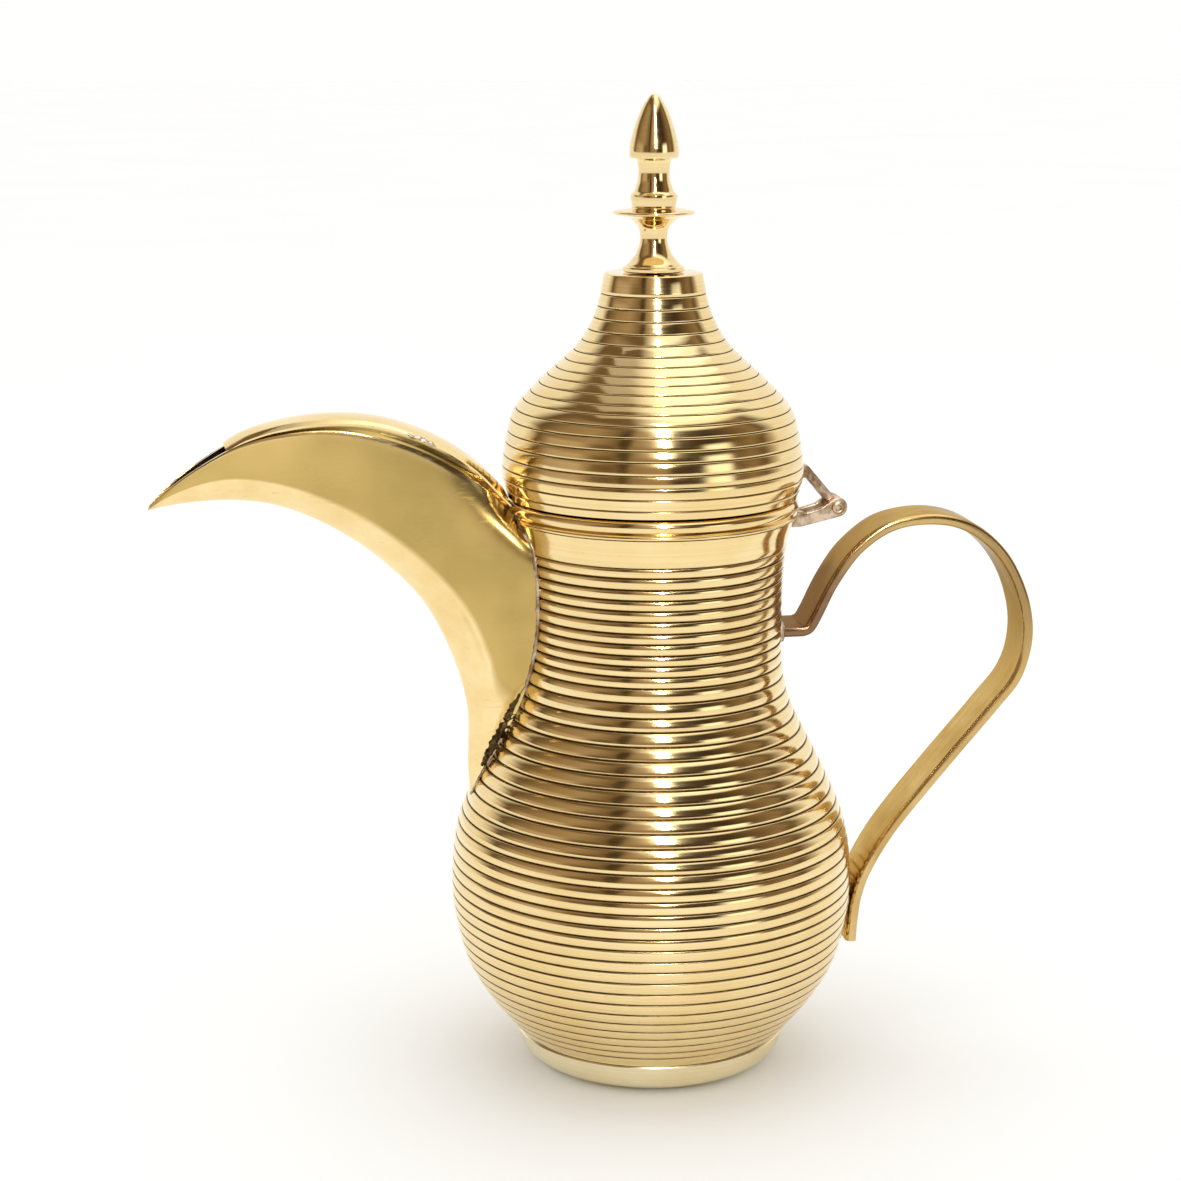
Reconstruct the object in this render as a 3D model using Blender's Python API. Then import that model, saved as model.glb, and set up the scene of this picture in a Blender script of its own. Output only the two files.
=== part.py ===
"""A ribbed brass dallah: a lidded coffee pot with a crescent beak and a flat strap handle.

Frame: +Z up, the origin on the vessel's axis at the underside of the foot. The beak points along -X,
the handle and the lid's hinge stand at +X, and the XZ plane is the plane of symmetry.
Lengths are in metres. Outlines are written as (radius, height) or (x, z) pairs in millimetres
and turned into metres by the MM factor.
"""

import math

import bmesh
import bpy
from mathutils import Matrix, Vector

MM = 0.001
GAP = 0.3

# Vessel: outside line over the crests of the ribs, from the foot joint to the mouth.
VESSEL_LINE = [
    (42.3, 10.6), (51.6, 22.0), (58.4, 34.0), (61.9, 48.5), (62.6, 60.0), (61.0, 75.2), (56.3, 88.1),
    (49.0, 103.0), (43.3, 114.8), (40.5, 127.7), (40.1, 146.0), (41.2, 164.5), (43.5, 173.2),
]
VESSEL_WALL = 1.4
BELLY_JOINT_Z = 61.7
LAP_HEIGHT = 4.0
SPIGOT_RADIUS = 40.6
SPIGOT_BOTTOM_Z = 8.0

# Foot: a shallow spun dish under the vessel, round at its side, flat at its underside.
FOOT_TOP_RADIUS = 42.5
FOOT_TOP_Z = 10.3
FOOT_BASE_RADIUS = 33.5
FOOT_BULGE = 2.7
FOOT_WALL = 1.5

# Mouth rim: a turned ring on the neck.
RIM_BOTTOM_Z = 173.5
RIM_TOP_Z = 179.5
RIM_RADIUS = 44.5
RIM_BORE = 40.2

# Lid: outside line from its lower edge to the small flat top.
LID_LINE = [
    (44.4, 179.8), (46.0, 188.5), (44.6, 198.5), (42.0, 206.4), (34.6, 214.8), (23.1, 225.7), (17.5, 235.6),
    (14.9, 246.6),
]
LID_WALL = 1.2
LID_TOP_Z = 247.3
LID_TOP_RADIUS = 14.2
COLLAR_RADIUS = 39.2
COLLAR_BOTTOM_Z = 175.2
COLLAR_WALL = 1.2
COLLAR_FLANGE_Z = 181.4
COLLAR_FLANGE_RADIUS = 43.1

# Finial: one turned knob, held down through the lid's top by a stud, a washer and a nut.
FINIAL_BASE_Z = LID_TOP_Z + GAP
FINIAL_TIP_Z = 300.0
STUD_RADIUS = 2.0
STUD_BOTTOM_Z = 239.0
STUD_TOP_Z = 257.0
WASHER_RADIUS = 7.0
WASHER_THICKNESS = 1.2
NUT_ACROSS_FLATS = 7.0
NUT_HEIGHT = 3.4

# Beak: stations from the vessel to the tip. Each row of it is (x, half-width, z).
# The rows run along the open top edge, the upper and the lower side, the crease and the keel.
BEAK_TOP = [
    (-39.0, 6.0, 173.0), (-46.6, 6.5, 179.8), (-54.5, 7.6, 188.4), (-63.5, 8.4, 195.0), (-74.5, 8.8, 200.5),
    (-87.0, 8.9, 203.8), (-100.0, 8.6, 204.4), (-113.0, 8.0, 202.8), (-125.0, 7.0, 199.0), (-136.0, 5.4, 192.9),
    (-145.5, 3.2, 186.1), (-152.0, 0.7, 179.9),
]
BEAK_UPPER_SIDE = [
    (-34.0, 14.5, 163.0), (-42.0, 14.2, 166.0), (-52.0, 12.6, 173.0), (-62.0, 11.4, 181.0), (-73.0, 10.6, 187.5),
    (-86.0, 10.0, 193.0), (-99.3, 9.3, 195.5), (-112.5, 8.4, 196.0), (-125.3, 7.2, 194.5), (-136.3, 5.4, 190.3),
    (-145.6, 3.2, 185.0), (-152.0, 0.7, 179.7),
]
BEAK_LOWER_SIDE = [
    (-34.0, 14.0, 138.0), (-43.0, 13.0, 143.0), (-51.0, 11.6, 152.5), (-59.5, 10.6, 163.0), (-71.5, 10.0, 174.0),
    (-85.0, 9.5, 182.8), (-98.8, 8.9, 187.8), (-112.7, 8.0, 190.8), (-125.8, 6.9, 191.4), (-136.7, 5.1, 188.6),
    (-145.8, 2.9, 184.2), (-152.1, 0.7, 179.5),
]
BEAK_CREASE = [
    (-40.0, 6.5, 112.0), (-49.0, 6.6, 119.0), (-52.0, 7.6, 131.5), (-58.5, 8.6, 146.5), (-70.0, 8.9, 160.5),
    (-84.0, 8.7, 172.3), (-98.5, 8.2, 181.0), (-113.0, 7.3, 186.6), (-126.3, 6.1, 188.6), (-137.0, 4.5, 187.0),
    (-146.0, 2.5, 183.4), (-152.2, 0.6, 179.3),
]
BEAK_KEEL = [
    (-50.0, 0.0, 84.0), (-57.4, 0.0, 97.0), (-57.6, 0.0, 115.0), (-62.3, 0.0, 132.0), (-71.0, 0.0, 149.0),
    (-85.0, 0.0, 163.3), (-99.5, 0.0, 173.2), (-114.0, 0.0, 179.4), (-127.0, 0.0, 181.4), (-138.0, 0.0, 181.2),
    (-146.5, 0.0, 180.2), (-152.5, 0.0, 179.0),
]
BEAK_KEEL_ROUNDING = 0.74
BEAK_WALL = 1.3
COVER_END = 8.35
COVER_THICKNESS = 1.1
COVER_CROWN = 1.2
LID_CLEARANCE = 0.8

# Strainer: holes through the vessel's wall behind the beak, in rows of four, three and two.
STRAINER_HOLE_RADIUS = 2.0
STRAINER_PITCH_Y = 6.2
STRAINER_ROWS = [(157.0, 4), (149.5, 3), (142.0, 4), (134.5, 3)]

# Handle: the middle line of a flat strap, from the stub at the neck to the cut end on the belly.
HANDLE_LINE = [
    (50.3, 141.0), (55.6, 151.6), (62.8, 161.4), (73.2, 168.6), (86.4, 170.6), (98.4, 167.8), (108.9, 159.3),
    (115.8, 147.0), (118.5, 133.3), (115.6, 120.0), (107.2, 109.0), (91.2, 90.2), (76.0, 71.5), (67.9, 58.0),
    (64.8, 48.5), (63.9, 41.5), (63.4, 35.0),
]
HANDLE_STUB_START = (36.0, 136.6)
HANDLE_STUB_END = (47.4, 136.6)
STRAP_WIDTH = 17.5
STRAP_THICKNESS = 3.4
STRAP_EDGE_BEVEL = 0.6

# Hinge: a two-eared fork on the rim, an arm on the lid, and a riveted pin through both.
PIN = (57.2, 174.7)
PIN_RADIUS = 1.3
PIN_HEAD_RADIUS = 2.0
KNUCKLE_RADIUS = 3.0
FORK_HALF_WIDTH = 5.0
FORK_SLOT_HALF_WIDTH = 3.0
FORK_ROOT_X = 41.0
FORK_WEB_X = 47.6
FORK_ROOT_Z = (168.6, 175.0)
ARM_HALF_WIDTH = 2.7
ARM_BEND = (47.3, 188.0)
ARM_TAB_END = (45.9, 182.0)
ARM_THICKNESS = 2.8

VESSEL_SEGMENTS = 40
SMALL_SEGMENTS = 24
PIN_SEGMENTS = 16

BRASS = (0.78, 0.57, 0.22, 1.0)
SATIN_BRASS = (0.70, 0.50, 0.20, 1.0)
RAW_BRASS = (0.62, 0.47, 0.33, 1.0)
STEEL = (0.55, 0.55, 0.56, 1.0)


def clear_scene():
    for existing in list(bpy.data.objects):
        bpy.data.objects.remove(existing, do_unlink=True)


def metal(name, colour, roughness):
    material = bpy.data.materials.new(name)
    material.use_nodes = True
    shader = material.node_tree.nodes["Principled BSDF"]
    shader.inputs["Base Color"].default_value = colour
    shader.inputs["Metallic"].default_value = 1.0
    shader.inputs["Roughness"].default_value = roughness
    material.diffuse_color = colour
    return material


def curve_through(points, steps):
    """Samples a smooth curve that passes through all the points, with so many steps from one to the next."""
    knots = [Vector(p) for p in points]
    ends = [2 * knots[0] - knots[1], *knots, 2 * knots[-1] - knots[-2]]
    samples = []
    for before, start, end, after in zip(ends, ends[1:], ends[2:], ends[3:]):
        for step in range(steps):
            t = step / steps
            samples.append(
                0.5 * (2 * start + t * (end - before)
                       + t * t * (2 * before - 5 * start + 4 * end - after)
                       + t ** 3 * (3 * start - before - 3 * end + after))
            )
    return [*samples, knots[-1]]


def arc(centre, radius, start_deg, end_deg, steps):
    """Points on a circle in the plane of an outline."""
    points = []
    for step in range(steps + 1):
        angle = math.radians(start_deg + (end_deg - start_deg) * step / steps)
        points.append(Vector((centre[0] + radius * math.cos(angle), centre[1] + radius * math.sin(angle))))
    return points


def beside(line, distance):
    """The line moved sideways by a distance, to the left of its direction when the distance is positive."""
    moved = []
    for index, point in enumerate(line):
        along = (line[min(index + 1, len(line) - 1)] - line[max(index - 1, 0)]).normalized()
        moved.append(point + distance * Vector((-along.y, along.x)))
    return moved


def part_of(line, low, high):
    """The stretch of a rising line between two heights, with its ends cut at those heights."""
    stretch = []
    for start, end in zip(line, line[1:]):
        for height in (low, high):
            if start.y < height < end.y:
                stretch.append(start.lerp(end, (height - start.y) / (end.y - start.y)))
        if low <= end.y <= high:
            stretch.append(end)
    if low <= line[0].y <= high:
        stretch.insert(0, line[0])
    return sorted(stretch, key=lambda point: point.y)


def add_object(name, bm, material, sharp_deg=35.0):
    bmesh.ops.remove_doubles(bm, verts=bm.verts, dist=2e-6)
    bmesh.ops.recalc_face_normals(bm, faces=bm.faces)
    mesh = bpy.data.meshes.new(name)
    bm.to_mesh(mesh)
    bm.free()
    mesh.shade_smooth()
    mesh.set_sharp_from_angle(angle=math.radians(sharp_deg))
    mesh.materials.append(material)
    piece = bpy.data.objects.new(name, mesh)
    bpy.context.scene.collection.objects.link(piece)
    return piece


def turned_mesh(outline, segments):
    """Spins a closed outline of (radius, height) points in millimetres about the vertical axis."""
    bm = bmesh.new()
    verts = [bm.verts.new((max(r, 0.0) * MM, 0.0, z * MM)) for r, z in outline]
    edges = [bm.edges.new((a, b)) for a, b in zip(verts, verts[1:] + verts[:1])
             if a.co.x > 0.0 or b.co.x > 0.0]
    bmesh.ops.spin(
        bm, geom=verts + edges, cent=(0, 0, 0), axis=(0, 0, 1), angle=2 * math.pi, steps=segments,
        use_merge=True,
    )
    return bm


def turned(name, outline, material, segments=VESSEL_SEGMENTS):
    return add_object(name, turned_mesh(outline, segments), material)


def slab_mesh(outline, half_width):
    """Extrudes a closed (x, z) outline in millimetres to both sides of the XZ plane."""
    bm = bmesh.new()
    verts = [bm.verts.new((x * MM, -half_width * MM, z * MM)) for x, z in outline]
    face = bm.faces.new(verts)
    raised = bmesh.ops.extrude_face_region(bm, geom=[face])
    moved = [item for item in raised["geom"] if isinstance(item, bmesh.types.BMVert)]
    bmesh.ops.translate(bm, verts=moved, vec=(0, 2 * half_width * MM, 0))
    return bm


def loft_mesh(rings):
    """Joins closed rings of equal length one after another and closes both ends with strips of quads.
    A ring runs over the outside and back along the inside, so its first half faces its second half."""
    bm = bmesh.new()
    grid = [[bm.verts.new([value * MM for value in point]) for point in ring] for ring in rings]
    count = len(grid[0])
    for ring, following in zip(grid, grid[1:]):
        for index in range(count):
            after = (index + 1) % count
            bm.faces.new((ring[index], ring[after], following[after], following[index]))
    for ring in (grid[0], grid[-1]):
        for index in range(count // 2 - 1):
            bm.faces.new((ring[index], ring[index + 1], ring[count - 2 - index], ring[count - 1 - index]))
    return bm


def rod_mesh(radius, half_length, centre, segments):
    """A round bar along Y, in millimetres."""
    place = Matrix.Translation((centre[0] * MM, 0, centre[1] * MM)) @ Matrix.Rotation(math.radians(90), 4, "X")
    bm = bmesh.new()
    bmesh.ops.create_cone(
        bm, cap_ends=True, segments=segments, radius1=radius * MM, radius2=radius * MM,
        depth=2 * half_length * MM, matrix=place,
    )
    return bm


def cutter(name, bm, material):
    tool = add_object(name, bm, material)
    tool.hide_render = True
    tool.display_type = "WIRE"
    return tool


def cut(piece, tool):
    modifier = piece.modifiers.new("cut_" + tool.name, "BOOLEAN")
    modifier.operation = "DIFFERENCE"
    modifier.solver = "EXACT"
    modifier.object = tool


def vessel_line(clearance=0.0):
    return beside(curve_through(VESSEL_LINE, 2), -clearance)


def lid_line(clearance=0.0):
    return beside(curve_through(LID_LINE, 3), -clearance)


def make_vessel_lower(brass):
    """The bowl, with a lip inside the belly joint, a flat bottom and a spigot that enters the foot."""
    outside = part_of(vessel_line(), 0.0, BELLY_JOINT_Z - GAP / 2)
    inside = part_of(vessel_line(-VESSEL_WALL), 12.0, BELLY_JOINT_Z)
    lip_outside = part_of(vessel_line(-VESSEL_WALL - GAP), BELLY_JOINT_Z - GAP / 2, BELLY_JOINT_Z + LAP_HEIGHT)
    lip_inside = part_of(vessel_line(-2 * VESSEL_WALL), BELLY_JOINT_Z - 1.0, BELLY_JOINT_Z + LAP_HEIGHT)
    lower_inside = [point for point in inside if point.y < BELLY_JOINT_Z - LAP_HEIGHT]
    floor = SPIGOT_BOTTOM_Z + VESSEL_WALL
    outline = [
        (0.0, SPIGOT_BOTTOM_Z), (SPIGOT_RADIUS, SPIGOT_BOTTOM_Z), (SPIGOT_RADIUS, FOOT_TOP_Z + GAP),
        *outside, *lip_outside, *reversed(lip_inside), *reversed(lower_inside),
        (SPIGOT_RADIUS - VESSEL_WALL, floor + 0.4), (SPIGOT_RADIUS - 2 * VESSEL_WALL, floor), (0.0, floor),
    ]
    return turned("vessel_lower", outline, brass)


def make_vessel_upper(brass, strainer_tool):
    """The shoulder and neck, with the strainer's holes behind the beak."""
    outside = part_of(vessel_line(), BELLY_JOINT_Z + GAP / 2, RIM_BOTTOM_Z)
    inside = part_of(vessel_line(-VESSEL_WALL), BELLY_JOINT_Z + GAP / 2, RIM_BOTTOM_Z - GAP)
    piece = turned("vessel_upper", [*outside, *reversed(inside)], brass)
    cut(piece, strainer_tool)
    return piece


def strainer_cutter(brass):
    bm = bmesh.new()
    for height, count in STRAINER_ROWS:
        for index in range(count):
            y = (index - (count - 1) / 2) * STRAINER_PITCH_Y
            place = Matrix.Translation((-VESSEL_LINE[9][0] * MM, y * MM, height * MM))
            bmesh.ops.create_cone(
                bm, cap_ends=True, segments=10, radius1=STRAINER_HOLE_RADIUS * MM,
                radius2=STRAINER_HOLE_RADIUS * MM, depth=14 * MM,
                matrix=place @ Matrix.Rotation(math.radians(90), 4, "Y"),
            )
    return cutter("strainer_cutter", bm, brass)


def make_foot(satin):
    """A shallow dish: a side that rounds under to a flat underside at height 0."""
    steps = 6
    outside = []
    for step in range(steps + 1):
        t = step / steps
        radius = FOOT_BASE_RADIUS + (FOOT_TOP_RADIUS - FOOT_BASE_RADIUS) * t + FOOT_BULGE * 4 * t * (1 - t)
        outside.append(Vector((radius, FOOT_TOP_Z * t)))
    inside = [point for point in beside(outside, FOOT_WALL) if point.y > FOOT_WALL]
    inside[-1].y = FOOT_TOP_Z
    inside[-1].x = SPIGOT_RADIUS + GAP
    floor = [point for point in inside if point.y < SPIGOT_BOTTOM_Z - GAP]
    outline = [
        (0.0, 0.0), *outside, inside[-1], (SPIGOT_RADIUS + GAP, SPIGOT_BOTTOM_Z - GAP - 0.2), *reversed(floor),
        (FOOT_BASE_RADIUS - 1.0, FOOT_WALL), (0.0, FOOT_WALL),
    ]
    return turned("foot_dish", outline, satin)


def make_rim(brass):
    """A ring with a rounded lip, its flat top the seat of the lid."""
    lip = (RIM_TOP_Z - RIM_BOTTOM_Z) / 2
    belly = [
        Vector((RIM_RADIUS - 1.3 + 1.3 * math.cos(angle), RIM_BOTTOM_Z + lip + lip * math.sin(angle)))
        for angle in (math.radians(-90 + 180 * step / 8) for step in range(9))
    ]
    return turned("mouth_rim", [(RIM_BORE, RIM_BOTTOM_Z), *belly, (RIM_BORE, RIM_TOP_Z)], brass)


def make_lid_dome(brass):
    """The onion-shaped shell, closed by a small flat top with the stud's hole."""
    outside = lid_line()
    inside = [point for point in lid_line(-LID_WALL) if point.y < LID_TOP_Z - LID_WALL - 1.0]
    inside[0].y = outside[0].y
    hole = STUD_RADIUS + GAP
    outline = [
        *outside, (LID_TOP_RADIUS, LID_TOP_Z), (hole, LID_TOP_Z), (hole, LID_TOP_Z - LID_WALL),
        (LID_TOP_RADIUS - 1.0, LID_TOP_Z - LID_WALL), *reversed(inside),
    ]
    return turned("lid_dome", outline, brass)


def make_lid_collar(brass):
    """The ring inside the lid whose sleeve drops into the mouth."""
    bore = COLLAR_RADIUS - COLLAR_WALL
    top = COLLAR_FLANGE_Z + COLLAR_WALL
    outline = [
        (bore, COLLAR_BOTTOM_Z), (COLLAR_RADIUS - 0.3, COLLAR_BOTTOM_Z), (COLLAR_RADIUS, COLLAR_BOTTOM_Z + 0.6),
        (COLLAR_RADIUS, COLLAR_FLANGE_Z), (COLLAR_FLANGE_RADIUS, COLLAR_FLANGE_Z), (COLLAR_FLANGE_RADIUS, top),
        (bore, top),
    ]
    return turned("lid_collar", outline, brass)


def make_finial(brass):
    """Base band, flared stem, thin disc, collar and acorn, turned in one piece and bored for the stud."""
    base = [(9.0, FINIAL_BASE_Z), (9.3, FINIAL_BASE_Z + 0.4), (9.3, 249.0), (8.7, 249.4)]
    stem = curve_through([(8.0, 249.6), (5.6, 252.8), (4.1, 257.2), (4.7, 260.4), (7.4, 263.4)], 3)
    disc = [(11.6, 264.5), (12.2, 265.2), (12.1, 265.9), (9.0, 266.4)]
    collar = [(6.7, 266.8), (6.7, 267.4), (7.2, 270.4), (6.4, 271.2)]
    neck = curve_through([(5.9, 271.6), (4.8, 274.8), (4.7, 278.2), (5.4, 280.8)], 2)
    acorn = curve_through([(7.2, 281.4), (7.25, 284.0), (6.4, 288.3), (4.6, 293.6), (2.3, 298.2)], 3)
    bore = STUD_RADIUS + GAP
    bore_top = STUD_TOP_Z + GAP
    outline = [
        *base, *stem, *disc, *collar, *neck, *acorn, (0.9, 299.7), (0.0, FINIAL_TIP_Z),
        (0.0, bore_top), (bore, bore_top), (bore, FINIAL_BASE_Z),
    ]
    return turned("finial", outline, brass, SMALL_SEGMENTS)


def make_finial_fixing(steel, brass):
    """The stud with the washer and the hexagon nut that clamp the finial from inside the lid."""
    stud = turned(
        "finial_stud",
        [(0.0, STUD_BOTTOM_Z), (STUD_RADIUS - 0.4, STUD_BOTTOM_Z), (STUD_RADIUS, STUD_BOTTOM_Z + 0.4),
         (STUD_RADIUS, STUD_TOP_Z), (0.0, STUD_TOP_Z)],
        brass, PIN_SEGMENTS,
    )
    bore = STUD_RADIUS + GAP
    washer_top = LID_TOP_Z - LID_WALL - GAP
    washer_bottom = washer_top - WASHER_THICKNESS
    washer = turned(
        "finial_washer",
        [(bore, washer_bottom), (WASHER_RADIUS, washer_bottom), (WASHER_RADIUS, washer_top), (bore, washer_top)],
        brass, SMALL_SEGMENTS,
    )
    nut_top = washer_bottom - GAP
    bm = bmesh.new()
    bmesh.ops.create_cone(
        bm, cap_ends=True, segments=6, radius1=NUT_ACROSS_FLATS / math.sqrt(3) * MM,
        radius2=NUT_ACROSS_FLATS / math.sqrt(3) * MM, depth=NUT_HEIGHT * MM,
        matrix=Matrix.Translation((0, 0, (nut_top - NUT_HEIGHT / 2) * MM)),
    )
    nut = add_object("finial_nut", bm, steel)
    hole = bmesh.new()
    bmesh.ops.create_cone(
        hole, cap_ends=True, segments=PIN_SEGMENTS, radius1=bore * MM, radius2=bore * MM, depth=4 * NUT_HEIGHT * MM,
        matrix=Matrix.Translation((0, 0, nut_top * MM)),
    )
    cut(nut, cutter("nut_bore_cutter", hole, steel))
    return [stud, washer, nut]


def beak_rows():
    """The beak's rows over one side, from the open top edge down to the keel, sampled along its length."""
    top, upper, lower, crease, keel = [
        curve_through(row, 2) for row in (BEAK_TOP, BEAK_UPPER_SIDE, BEAK_LOWER_SIDE, BEAK_CREASE, BEAK_KEEL)
    ]
    flank = []
    for crease_point, keel_point in zip(crease, keel):
        point = keel_point.lerp(crease_point, 1 - BEAK_KEEL_ROUNDING)
        point.y = crease_point.y * BEAK_KEEL_ROUNDING
        flank.append(point)
    return [top, upper, lower, crease, flank, keel]


def make_beak(brass, root_tool):
    """A keeled trough, open at its top and at the vessel, running out to a pointed lip."""
    rows = beak_rows()
    rings = []
    for station in range(len(rows[0])):
        side = [row[station] for row in rows]
        up = (side[0] - side[-1]).normalized()
        wall = min(BEAK_WALL, 0.45 * side[0].y)
        lift = (0.0, 0.15, 0.3, 0.6, 0.9, 1.15)
        inner = [
            Vector((point.x, max(point.y - wall, 0.0), point.z)) + Vector((up.x, 0, up.z)) * wall * share
            for point, share in zip(side, lift)
        ]
        outside = side + [Vector((p.x, -p.y, p.z)) for p in reversed(side[:-1])]
        inside = inner + [Vector((p.x, -p.y, p.z)) for p in reversed(inner[:-1])]
        rings.append(outside + inside[::-1])
    piece = add_object("spout_beak", loft_mesh(rings), brass)
    cut(piece, root_tool)
    return piece


def make_cover(brass, root_tool):
    """The crowned strip that closes the trough from the mouth rim to the pouring lip."""
    top = curve_through(BEAK_TOP, 2)
    last = int(COVER_END * 2)
    rings = []
    for station in range(last + 1):
        edge = top[station]
        along = top[min(station + 1, last)] - top[max(station - 1, 0)]
        up = Vector((-along.z, 0.0, along.x)).normalized()
        up = up if up.z > 0 else -up
        under = []
        for share in (1.0, 0.55, 0.0, -0.55, -1.0):
            lift = GAP + COVER_CROWN * (1 - share * share)
            under.append(Vector((edge.x, share * edge.y, edge.z)) + up * lift)
        over = [point + up * COVER_THICKNESS for point in under]
        rings.append(under + over[::-1])
    piece = add_object("spout_cover", loft_mesh(rings), brass)
    cut(piece, root_tool)
    return piece


def root_cutter(brass):
    """The outside of the vessel, rim and lid grown by the gap: what is fitted to them is cut to this."""
    vessel = part_of(vessel_line(GAP), 14.0, RIM_BOTTOM_Z - 0.2)
    rim = RIM_RADIUS + GAP
    lid = part_of(lid_line(LID_CLEARANCE), RIM_TOP_Z + 0.4, 200.0)
    outline = [(0.0, vessel[0].y), *vessel, (rim, RIM_BOTTOM_Z), (rim, RIM_TOP_Z), *lid, (0.0, lid[-1].y)]
    return cutter("vessel_cutter", turned_mesh(outline, VESSEL_SEGMENTS), brass)


def lid_cutter(brass):
    lid = part_of(lid_line(GAP), RIM_TOP_Z, 210.0)
    outline = [(0.0, lid[0].y), *lid, (0.0, lid[-1].y)]
    return cutter("lid_cutter", turned_mesh(outline, VESSEL_SEGMENTS), brass)


def handle_path():
    """The strap's middle line: a level stub, a tight bend upwards, then the long curve."""
    stub = [Vector(HANDLE_STUB_START), Vector(HANDLE_STUB_END)]
    return stub + curve_through(HANDLE_LINE, 3)


def make_handle(satin, root_tool):
    path = handle_path()
    half_width = STRAP_WIDTH / 2
    half_thick = STRAP_THICKNESS / 2
    bevel = STRAP_EDGE_BEVEL
    section = [
        (half_width - bevel, half_thick), (half_width, half_thick - bevel), (half_width, bevel - half_thick),
        (half_width - bevel, -half_thick), (bevel - half_width, -half_thick), (-half_width, bevel - half_thick),
        (-half_width, half_thick - bevel), (bevel - half_width, half_thick),
    ]
    normals = beside(path, 1.0)
    rings = []
    for index, point in enumerate(path):
        out = normals[index] - point
        if 0 < index < len(path) - 1:
            before = (point - path[index - 1]).normalized()
            after = (path[index + 1] - point).normalized()
            out = out / max(math.sqrt((1 + before.dot(after)) / 2), 0.5)
        rings.append([(point.x + out.x * n, y, point.y + out.y * n) for y, n in section])
    bm = bmesh.new()
    grid = [[bm.verts.new([value * MM for value in corner]) for corner in ring] for ring in rings]
    for ring, following in zip(grid, grid[1:]):
        for index in range(len(section)):
            after = (index + 1) % len(section)
            bm.faces.new((ring[index], ring[after], following[after], following[index]))
    bm.faces.new(grid[0])
    bm.faces.new(grid[-1])
    piece = add_object("handle_strap", bm, satin, 50.0)
    cut(piece, root_tool)
    return piece


def make_fork(raw, root_tool):
    """Two ears on a web that is brazed under the mouth rim."""
    low, high = FORK_ROOT_Z
    ear = arc(PIN, KNUCKLE_RADIUS, -75, 105, 9)
    outline = [(FORK_ROOT_X, low), (FORK_ROOT_X + 5.0, low), *ear, (FORK_ROOT_X + 5.5, high), (FORK_ROOT_X, high)]
    piece = add_object("hinge_fork", slab_mesh(outline, FORK_HALF_WIDTH), raw)
    slot_end = PIN[0] + 2 * KNUCKLE_RADIUS
    slot = [(FORK_WEB_X, low - 5), (slot_end, low - 5), (slot_end, high + 8), (FORK_WEB_X, high + 8)]
    cut(piece, cutter("fork_slot_cutter", slab_mesh(slot, FORK_SLOT_HALF_WIDTH), raw))
    cut(piece, cutter("fork_bore_cutter", rod_mesh(PIN_RADIUS + GAP, 12, PIN, PIN_SEGMENTS), raw))
    cut(piece, root_tool)
    return piece


def make_arm(raw, lid_tool):
    """A knuckle between the ears, a straight bar up to the lid and a tab bent down along its side."""
    pin, bend, tab = Vector(PIN), Vector(ARM_BEND), Vector(ARM_TAB_END)
    half = ARM_THICKNESS / 2
    along = (bend - pin).normalized()
    aside = Vector((along.y, -along.x)) * half
    start = math.degrees(math.atan2(aside.y, aside.x))
    spread = math.degrees(math.asin(half / KNUCKLE_RADIUS))
    lead = math.degrees(math.atan2(along.y, along.x))
    knuckle = arc(PIN, KNUCKLE_RADIUS, lead + spread, lead + 360 - spread, 14)
    inner_corner = bend - aside - along * (ARM_THICKNESS * 1.6)
    outline = [
        *knuckle, bend + aside + along * half * 0.6, bend - Vector((3.0, -half)), tab - Vector((3.0, 0.0)),
        tab + Vector((half * 1.3, 0.0)), inner_corner,
    ]
    piece = add_object("hinge_arm", slab_mesh(outline, ARM_HALF_WIDTH), raw)
    cut(piece, cutter("arm_bore_cutter", rod_mesh(PIN_RADIUS + GAP, 12, PIN, PIN_SEGMENTS), raw))
    cut(piece, lid_tool)
    return piece


def make_pin(raw):
    """A pin with a peened head at each end."""
    shank = FORK_HALF_WIDTH + GAP
    half_line = [
        (PIN_HEAD_RADIUS, shank), (PIN_HEAD_RADIUS, shank + 0.5), (PIN_HEAD_RADIUS * 0.7, shank + 1.0),
        (0.0, shank + 1.2),
    ]
    outline = [
        *[(r, -z) for r, z in reversed(half_line)], (PIN_RADIUS, -shank), (PIN_RADIUS, shank), *half_line,
    ]
    bm = turned_mesh(outline, PIN_SEGMENTS)
    place = Matrix.Translation((PIN[0] * MM, 0, PIN[1] * MM)) @ Matrix.Rotation(math.radians(90), 4, "X")
    bmesh.ops.transform(bm, matrix=place, verts=bm.verts)
    return add_object("hinge_pin", bm, raw)


def hang_on_hinge(pieces):
    """Parents the lid's pieces to an empty on the hinge axis, leaving them where they are."""
    axis = bpy.data.objects.new("lid_hinge_axis", None)
    axis.location = (PIN[0] * MM, 0, PIN[1] * MM)
    bpy.context.scene.collection.objects.link(axis)
    for piece in pieces:
        piece.parent = axis
        piece.location = (-PIN[0] * MM, 0, -PIN[1] * MM)


def main():
    clear_scene()
    brass = metal("polished_brass", BRASS, 0.16)
    satin = metal("satin_brass", SATIN_BRASS, 0.34)
    raw = metal("raw_brass", RAW_BRASS, 0.45)
    steel = metal("plated_steel", STEEL, 0.35)
    root_tool = root_cutter(brass)

    make_foot(satin)
    make_vessel_lower(brass)
    make_vessel_upper(brass, strainer_cutter(brass))
    make_rim(brass)
    make_beak(brass, root_tool)
    make_cover(brass, root_tool)
    make_handle(satin, root_tool)
    make_fork(raw, root_tool)
    make_pin(raw)
    hang_on_hinge([
        make_lid_dome(brass), make_lid_collar(brass), make_finial(brass),
        *make_finial_fixing(steel, brass), make_arm(raw, lid_cutter(raw)),
    ])


if __name__ == "__main__":
    main()
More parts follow.
